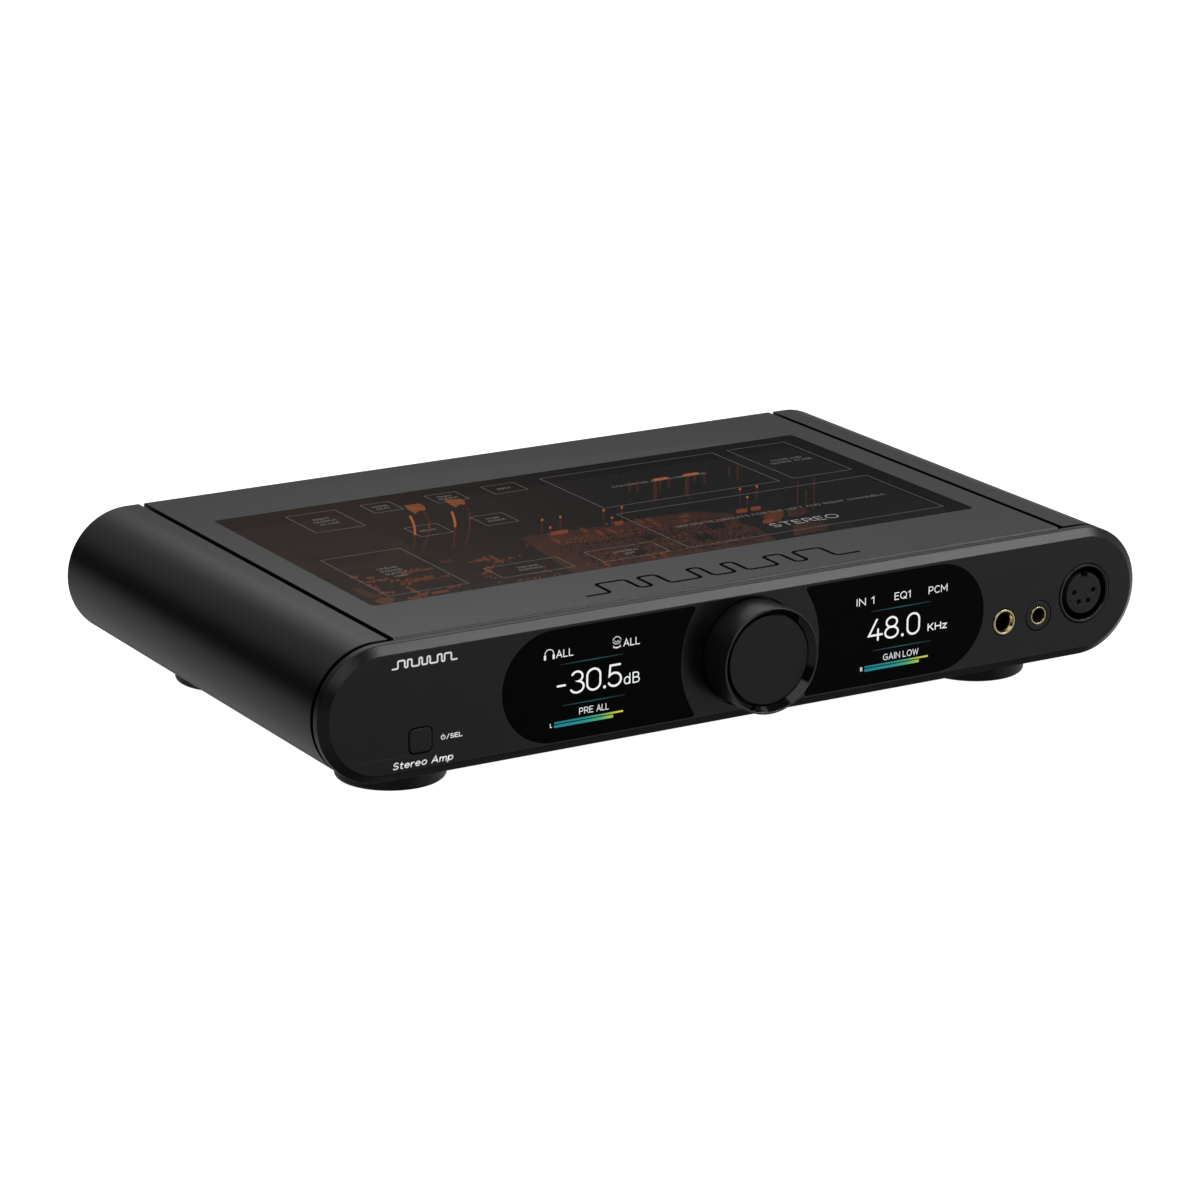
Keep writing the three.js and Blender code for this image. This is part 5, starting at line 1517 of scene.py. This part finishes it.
    # two upright round parts; the thin glowing lines in front of them and the crescents on their tops are painted
    # highlights, in bright, mid and dim copies
    a, b, c, d = Geo(), Geo(), Geo(), Geo()
    for x, y in ((-38.0, 175.6), (-21.0, 175.6)):
        r = 3.7
        a.lathe([(0, 10.6), (r - 0.3, 10.6), (r, 10.9), (r, 38.2), (r - 0.15, 38.6), (r - 0.5, 38.8), (0, 38.8)], x, y, 48, axis="Z")
    e = Geo()
    e.prism([(-39.86, 180.2), (-38.81, 179.46), (-36.16, 179.58), (-34.24, 178.98), (-34.21, 176.04), (-34.91, 172.89), (-36.49, 170.72), (-37.49, 172.42), (-39.32, 171.04), (-41.45, 168.62), (-41.33, 171.70), (-40.96, 175.51)][::-1], 39.5, 38.9, XY)
    e.prism([(-22.76, 180.05), (-22.12, 178.30), (-19.72, 177.92), (-17.46, 176.97), (-17.27, 174.90), (-17.92, 172.50), (-19.19, 170.62), (-19.72, 172.54), (-21.58, 171.16), (-23.95, 168.94), (-23.80, 171.77), (-23.45, 174.82)][::-1], 39.5, 38.9, XY)
    yl = 169.3
    tube(b, [Vector((x, yl, z)) for x, z in ((-43.55, 38.2), (-42.86, 37.0), (-42.1, 35.4), (-41.6, 33.5), (-41.43, 32.0), (-41.40, 30.6))], 0.42, 10)
    tube(b, [Vector((x, yl, z)) for x, z in ((-25.62, 37.36), (-24.98, 36.05), (-24.5, 34.45), (-24.12, 32.98), (-24.03, 31.3))], 0.46, 10)
    tube(c, [Vector((x, yl, z)) for x, z in ((-35.29, 34.0), (-35.27, 33.28), (-35.33, 32.2))], 0.42, 10)
    tube(c, [Vector((x, yl, z)) for x, z in ((-17.66, 34.2), (-17.62, 33.3), (-17.66, 32.9))], 0.36, 10)
    for line in (((-41.40, 30.4), (-41.42, 29.2), (-41.63, 27.5), (-42.51, 24.76), (-43.81, 21.8)), ((-37.36, 38.6), (-36.2, 37.0), (-35.52, 35.4), (-35.3, 34.1)),
                 ((-35.36, 32.0), (-35.6, 30.2), (-36.47, 27.44), (-37.77, 24.28), (-38.19, 19.41)), ((-24.04, 31.1), (-24.17, 29.04), (-24.7, 24.42), (-26.93, 19.37)),
                 ((-18.76, 37.67), (-18.02, 36.27), (-17.68, 34.84), (-17.66, 34.4)), ((-17.68, 32.7), (-17.86, 28.83), (-19.92, 21.72), (-20.67, 18.78))):
        tube(d, [Vector((x, yl, z)) for x, z in line], 0.36, 8)
    finish_obj("upright_round_parts", a, ["can"])
    finish_obj("upright_part_painted_highlight_bright", b, ["ember"], weighted=False)
    finish_obj("upright_part_painted_highlight_tops", e, ["copper_cap"], weighted=False)
    finish_obj("upright_part_painted_highlight_mid", c, ["copper_painted_glow"], weighted=False)
    finish_obj("upright_part_painted_highlight_dim", d, ["copper_painted_glow_dim"], weighted=False)
    # tall ribs of the output filters, behind, with a dim painted glow
    g = Geo()
    for x in (58, 61.5, 72, 76, 88, 92.5, 104, 108):
        g.box(x - 0.3, 176.6, 12.0, x + 0.3, 177.2, 36.0)
    finish_obj("filter_coil_ribs", g, ["copper_painted_glow_dim"], weighted=False)
    # packages: dark chips on all boards
    g = Geo()
    for x, y, w, h in ((-44, 121, 8, 7), (-26, 112, 9, 9), (-24, 134, 6, 5), (100, 138, 7, 6)):
        g.box(x - w / 2, y - h / 2, zt + 0.02, x + w / 2, y + h / 2, zt + 1.3, edge=0.15)
    for x, y, w, h in ((-78, 86, 12, 6), (-66, 72, 6, 5), (-112, 100, 5, 7)):
        g.box(x - w / 2, y - h / 2, 38.02, x + w / 2, y + h / 2, 39.4, edge=0.15)
    for x, y, w, h in ((0, 62, 12, 12), (24, 60, 9, 9), (80, 62, 14, 14), (110, 70, 8, 8), (-25, 62, 8, 8), (74, 86, 10, 6), (-20, 80, 10, 10)):
        g.box(x - w / 2, y - h / 2, 10.42, x + w / 2, y + h / 2, 12.0, edge=0.15)
    finish_obj("board_chips", g, ["chip"], weighted=False)
    # small parts on the main board, with a dim painted glow
    g = Geo()
    parts_rows(g, -36.0, 124.0, 10.4, (52.0, 56.0, 67.0, 71.0, 82.0), 0.5, 0.8, 3.0, 1.1, (0.5, 1.3), 0.5)
    parts_rows(g, 64.0, 124.0, 10.4, (92.0, 96.0), 0.5, 0.8, 3.0, 1.1, (0.5, 1.3), 0.5)
    parts_rows(g, -122.0, -50.0, 10.4, (52.0, 56.0, 60.0), 0.5, 0.8, 3.0, 1.1, (0.5, 1.3), 0.5)
    finish_obj("main_board_small_parts", g, ["copper_painted_glow_dim"], weighted=False)
    # upright electrolytic capacitors and relays
    g = Geo()
    tops = Geo()
    for x, y, r, h in ((-10, 64, 4, 22), (12, 62, 3.2, 18), (44, 62, 4, 22), (54, 62, 4, 22), (64, 68, 3.2, 18), (96, 60, 4, 22), (-26, 98, 3, 14), (-110, 56, 4, 20), (-98, 57, 4, 20), (-70, 56, 5, 24), (118, 92, 3.2, 16), (118, 104, 3.2, 16)):
        z1 = 10.4 + h
        g.lathe([(0, 10.45), (r - 0.2, 10.45), (r, 10.7), (r, 12.0), (r - 0.25, 12.5), (r, 13.0), (r, z1 - 0.4), (r - 0.3, z1), (r - 0.6, z1), (r - 0.7, z1 - 0.15), (0, z1 - 0.15)], x, y, 32, axis="Z")
        tops.lathe([(0, z1 - 0.1), (r - 0.8, z1 - 0.1), (r - 0.9, z1 - 0.02), (0, z1 - 0.02)], x, y, 32, axis="Z")
    finish_obj("main_board_capacitors", g, ["can"])
    finish_obj("main_board_capacitor_tops", tops, ["tinned"])
    g = Geo()
    for x, y in ((100, 112), (112, 118), (-4, 168), (10, 172)):
        g.box(x - 4.5, y - 7.5, 10.45, x + 4.5, y + 7.5, 24.5, edge=0.4)
    finish_obj("output_relays", g, ["chip"])
    # reservoir capacitors
    for nm, x, y in (("left", -98, 92), ("right", -78, 92)):
        g = Geo()
        r, z1 = 6.3, 34.0
        g.lathe([(0, 10.9), (r - 0.3, 10.9), (r, 11.2), (r, 13.0), (r - 0.35, 13.7), (r, 14.4), (r, z1 - 0.6), (r - 0.2, z1 - 0.15), (r - 0.5, z1), (r - 0.8, z1), (r - 1.0, z1 - 0.3), (0, z1 - 0.3)], x, y, 56, axis="Z")
        finish_obj("reservoir_capacitor_%s_can" % nm, g, ["can"], replaces=["reservoir_capacitor_" + nm])
    # toroidal transformer: taped core with its winding showing as turns
    g = Geo()
    cx, cy, ro, ri, z0, z1 = -86.0, 146.0, 28.6, 9.5, 11.2, 36.6
    turns = 84
    c = 4.2
    prof = ([(ro - c + c * math.cos(a), z1 - c + c * math.sin(a)) for a in [math.pi / 2 * (1 - i / 6) for i in range(7)]]
            + [(ro - c + c * math.cos(a), z0 + c + c * math.sin(a)) for a in [-math.pi / 2 * i / 6 for i in range(7)]]
            + [(ri + 2 - 2 * math.cos(a), z0 + 2 - 2 * math.sin(a)) for a in [math.pi / 2 * (1 - i / 4) for i in range(5)]]
            + [(ri + 2 - 2 * math.cos(a), z1 - 2 + 2 * math.sin(a)) for a in [math.pi / 2 * i / 4 for i in range(5)]])
    seg = turns * 4
    idx = []
    for k in range(seg):
        a = 2 * math.pi * k / seg
        puff = 0.32 * (0.5 - 0.5 * math.cos(2 * math.pi * (k % 4) / 4))
        ring = []
        mr, mz = (ro + ri) / 2, (z0 + z1) / 2
        for r, z in prof:
            dr, dz = r - mr, z - mz
            ll = math.hypot(dr, dz)
            rr2, zz = r + dr / ll * puff, z + dz / ll * puff
            g.v.append((cx + rr2 * math.cos(a), cy + rr2 * math.sin(a), zz))
            ring.append(len(g.v) - 1)
        idx.append(ring)
    for k in range(seg):
        g.bridge(idx[k], idx[(k + 1) % seg])
    finish_obj("toroidal_transformer_winding", g, ["winding"], replaces=["toroidal_transformer"], angle=60)
    # leads from the transformer
    g = Geo()
    for k, (a, dx, mt) in enumerate(((20, 22, 0), (8, 24, 0), (-6, 25, 0), (-20, 24, 0))):
        pts = []
        for i in range(15):
            t = i / 14
            x = cx + 28 * math.cos(math.radians(a)) + t * dx * 0.6
            y = cy + 28 * math.sin(math.radians(a)) - t * 10
            z = 30 - 18 * t * t + 3 * math.sin(math.pi * t)
            pts.append(Vector((x, y, z)))
        tube(g, pts, 0.75, 8)
    finish_obj("transformer_leads", g, ["can"])


def tube(g, pts, r, n=8, m=0):
    rings = []
    for i, p in enumerate(pts):
        t = (pts[min(i + 1, len(pts) - 1)] - pts[max(0, i - 1)]).normalized()
        up = Vector((0, 0, 1)) if abs(t.z) < 0.9 else Vector((1, 0, 0))
        s = t.cross(up).normalized()
        u = s.cross(t)
        ring = []
        for k in range(n):
            a = 2 * math.pi * k / n
            q = p + s * (r * math.cos(a)) + u * (r * math.sin(a))
            g.v.append(tuple(q))
            ring.append(len(g.v) - 1)
        rings.append(ring)
    for a, b in zip(rings, rings[1:]):
        g.bridge(a, b, m)
    g.cap([rings[0]], m)
    g.cap([rings[-1]], m)


# ------------------------------------------------------------------ floor, light, world
def studio():
    sc = bpy.context.scene
    sc.view_settings.view_transform = "Standard"
    sc.view_settings.look = "None"
    sc.view_settings.exposure = 0.0
    sc.view_settings.gamma = 1.0
    me = bpy.data.meshes.new("floor")
    n = 96
    v = [(0, 0, -0.0002)] + [(9 * math.cos(2 * math.pi * i / n), 9 * math.sin(2 * math.pi * i / n), -0.0002) for i in range(n)]
    me.from_pydata(v, [], [(0, 1 + i, 1 + (i + 1) % n) for i in range(n)])
    fl = bpy.data.objects.new("floor", me)
    sc.collection.objects.link(fl)
    m = Nodes("floor_pale")
    m.set(Roughness=0.95)
    m.b.inputs["Specular IOR Level"].default_value = 0.0
    m.tint(m.noise(0.8, 2.0), grey(0.70), grey(0.72))
    m.b.inputs["Emission Color"].default_value = (1, 1, 1, 1)
    m.b.inputs["Emission Strength"].default_value = 1.0
    me.materials.append(m.mat)
    fl.visible_glossy = False
    fl.visible_diffuse = False

    def area(name, loc, target, size, watts):
        l = bpy.data.lights.new(name, "AREA")
        l.shape = "DISK"
        l.size = size
        l.energy = watts
        o = bpy.data.objects.new(name, l)
        sc.collection.objects.link(o)
        o.location = loc
        o.rotation_mode = "QUATERNION"
        o.rotation_quaternion = (Vector(target) - Vector(loc)).to_track_quat("-Z", "Y")
        o.visible_glossy = False
        o.visible_camera = False
    area("key_soft", (0.5, -1.3, 1.9), (0, 0, 0), 1.6, 14)
    area("fill_soft", (-1.6, 0.3, 1.3), (0, 0, 0), 1.6, 8)

    def card(name, centre, long_axis, target, half_l, half_w, stops, strength):
        """A soft light panel that only shows in reflections, as a strip light does on metal. stops run along its length."""
        c, t = Vector(centre), Vector(target)
        nrm = (t - c).normalized()
        la = Vector(long_axis)
        la = (la - nrm * la.dot(nrm)).normalized()
        wa = nrm.cross(la)
        me = bpy.data.meshes.new(name)
        me.from_pydata([(-half_l, -half_w, 0), (half_l, -half_w, 0), (half_l, half_w, 0), (-half_l, half_w, 0)], [], [(0, 1, 2, 3)])
        o = bpy.data.objects.new(name, me)
        sc.collection.objects.link(o)
        mx = Matrix((la, wa, nrm)).transposed().to_4x4()
        mx.translation = c
        o.matrix_world = mx
        m = bpy.data.materials.new(name)
        m.use_nodes = True
        nt = m.node_tree
        nt.nodes.clear()
        ou = nt.nodes.new("ShaderNodeOutputMaterial")
        em = nt.nodes.new("ShaderNodeEmission")
        tc = nt.nodes.new("ShaderNodeTexCoord")
        sp = nt.nodes.new("ShaderNodeSeparateXYZ")
        mr = nt.nodes.new("ShaderNodeMapRange")
        rp = nt.nodes.new("ShaderNodeValToRGB")
        nt.links.new(tc.outputs["Object"], sp.inputs[0])
        mr.inputs["From Min"].default_value = -half_l
        mr.inputs["From Max"].default_value = half_l
        nt.links.new(sp.outputs[0], mr.inputs["Value"])
        el = rp.color_ramp.elements
        while len(el) < len(stops):
            el.new(0.5)
        for e, (p, v) in zip(el, stops):
            e.position = p
            e.color = (v, v, v, 1)
        nt.links.new(mr.outputs[0], rp.inputs[0])
        nt.links.new(rp.outputs[0], em.inputs[0])
        em.inputs[1].default_value = strength
        nt.links.new(em.outputs[0], ou.inputs[0])
        me.materials.append(m)
        o.visible_camera = False
        o.visible_diffuse = False
        o.visible_shadow = False
        o.visible_transmission = False
    card("strip_light_front", (0.635, -0.705, 0.878), (0.978, 0.124, -0.161), (0, -0.097, 0.058), 0.42, 0.075, [(0.0, 0.9), (1.0, 0.97)], 7.2)
    card("soft_panel_rear", (0.40, 0.60, 0.457), (1, 0, 0), (0.40, 0.0, 0.457), 0.75, 0.165, [(0.0, 0.28), (0.08, 0.30), (0.13, 0.40), (0.19, 0.64), (0.27, 0.88), (0.38, 1.0), (0.50, 0.80), (0.62, 0.53), (1.0, 0.48)], 0.88)

    # the studio around the object: radiance by direction, kept in two half rooms (behind and in front)
    w = bpy.data.worlds.new("studio")
    sc.world = w
    w.use_nodes = True
    nt = w.node_tree
    nt.nodes.clear()
    N = nt.nodes.new
    out = N("ShaderNodeOutputWorld")
    tc = N("ShaderNodeTexCoord")
    sep = N("ShaderNodeSeparateXYZ")
    nt.links.new(tc.outputs["Generated"], sep.inputs[0])
    at = N("ShaderNodeMath")
    at.operation = "ARCTAN2"
    nt.links.new(sep.outputs[2], at.inputs[0])
    nt.links.new(sep.outputs[0], at.inputs[1])
    dv = N("ShaderNodeMath")
    dv.operation = "DIVIDE"
    dv.inputs[1].default_value = 2 * math.pi
    nt.links.new(at.outputs[0], dv.inputs[0])
    fr = N("ShaderNodeMath")
    fr.operation = "FLOORED_MODULO"
    fr.inputs[1].default_value = 1.0
    nt.links.new(dv.outputs[0], fr.inputs[0])

    def ring(stops):
        top = 4.0
        r = N("ShaderNodeValToRGB")
        r.color_ramp.interpolation = "LINEAR"
        el = r.color_ramp.elements
        while len(el) < len(stops):
            el.new(0.5)
        for e, (deg, val) in zip(el, stops):
            e.position = deg / 360.0
            e.color = (val / top, val / top, val / top, 1)
        nt.links.new(fr.outputs[0], r.inputs[0])
        mul = N("ShaderNodeMath")
        mul.operation = "MULTIPLY"
        mul.inputs[1].default_value = top
        nt.links.new(r.outputs[0], mul.inputs[0])
        return mul.outputs[0]
    back = ring(ENV_BACK)
    front = ring(ENV_FRONT)
    mr = N("ShaderNodeMapRange")
    mr.interpolation_type = "SMOOTHSTEP"
    mr.inputs["From Min"].default_value = -0.3
    mr.inputs["From Max"].default_value = 0.5
    nt.links.new(sep.outputs[1], mr.inputs["Value"])
    mix = N("ShaderNodeMix")
    mix.data_type = "FLOAT"
    nt.links.new(mr.outputs[0], mix.inputs[0])
    nt.links.new(front, mix.inputs[2])
    nt.links.new(back, mix.inputs[3])
    bg = N("ShaderNodeBackground")
    nt.links.new(mix.outputs[0], bg.inputs["Color"])
    white = N("ShaderNodeBackground")
    white.inputs["Color"].default_value = (1, 1, 1, 1)
    lp = N("ShaderNodeLightPath")
    ms = N("ShaderNodeMixShader")
    nt.links.new(lp.outputs["Is Camera Ray"], ms.inputs[0])
    nt.links.new(bg.outputs[0], ms.inputs[1])
    nt.links.new(white.outputs[0], ms.inputs[2])
    nt.links.new(ms.outputs[0], out.inputs[0])


ENV_BACK = [(0, 0.23), (14, 0.192), (22, 0.174), (34, 0.190), (50, 0.36), (70, 0.41), (90, 0.30), (110, 0.25), (130, 0.22), (146, 0.12), (158, 0.05), (174, 0.01), (188, 0.10), (200, 0.245), (212, 0.32), (230, 0.36), (250, 0.36), (268, 0.33), (285, 0.30), (296, 0.26), (303, 0.07), (314, 0.08), (320, 0.45), (330, 0.78), (345, 0.45), (359.9, 0.25)]
ENV_FRONT = [(0, 0.55), (30, 0.44), (34, 0.06), (43, 0.06), (45, 0.55), (52, 0.55), (55, 0.06), (93, 0.06), (97, 0.62), (140, 0.62), (146, 0.02), (172, 0.02), (178, 0.16), (210, 0.17), (240, 0.14), (258, 0.08), (270, 0.03), (298, 0.03), (312, 0.16), (326, 0.24), (335, 0.42), (345, 0.50), (359.9, 0.55)]


# ------------------------------------------------------------------ put it together
front_panel()
panel_joint()
lenses()
readouts()
panel_print()
top_cover()
window()
window_print()
shells()
base()
rear()
rear_print()
knob()
button()
front_sockets()
feet()
rear_sockets()
carried_over()
interior()
studio()
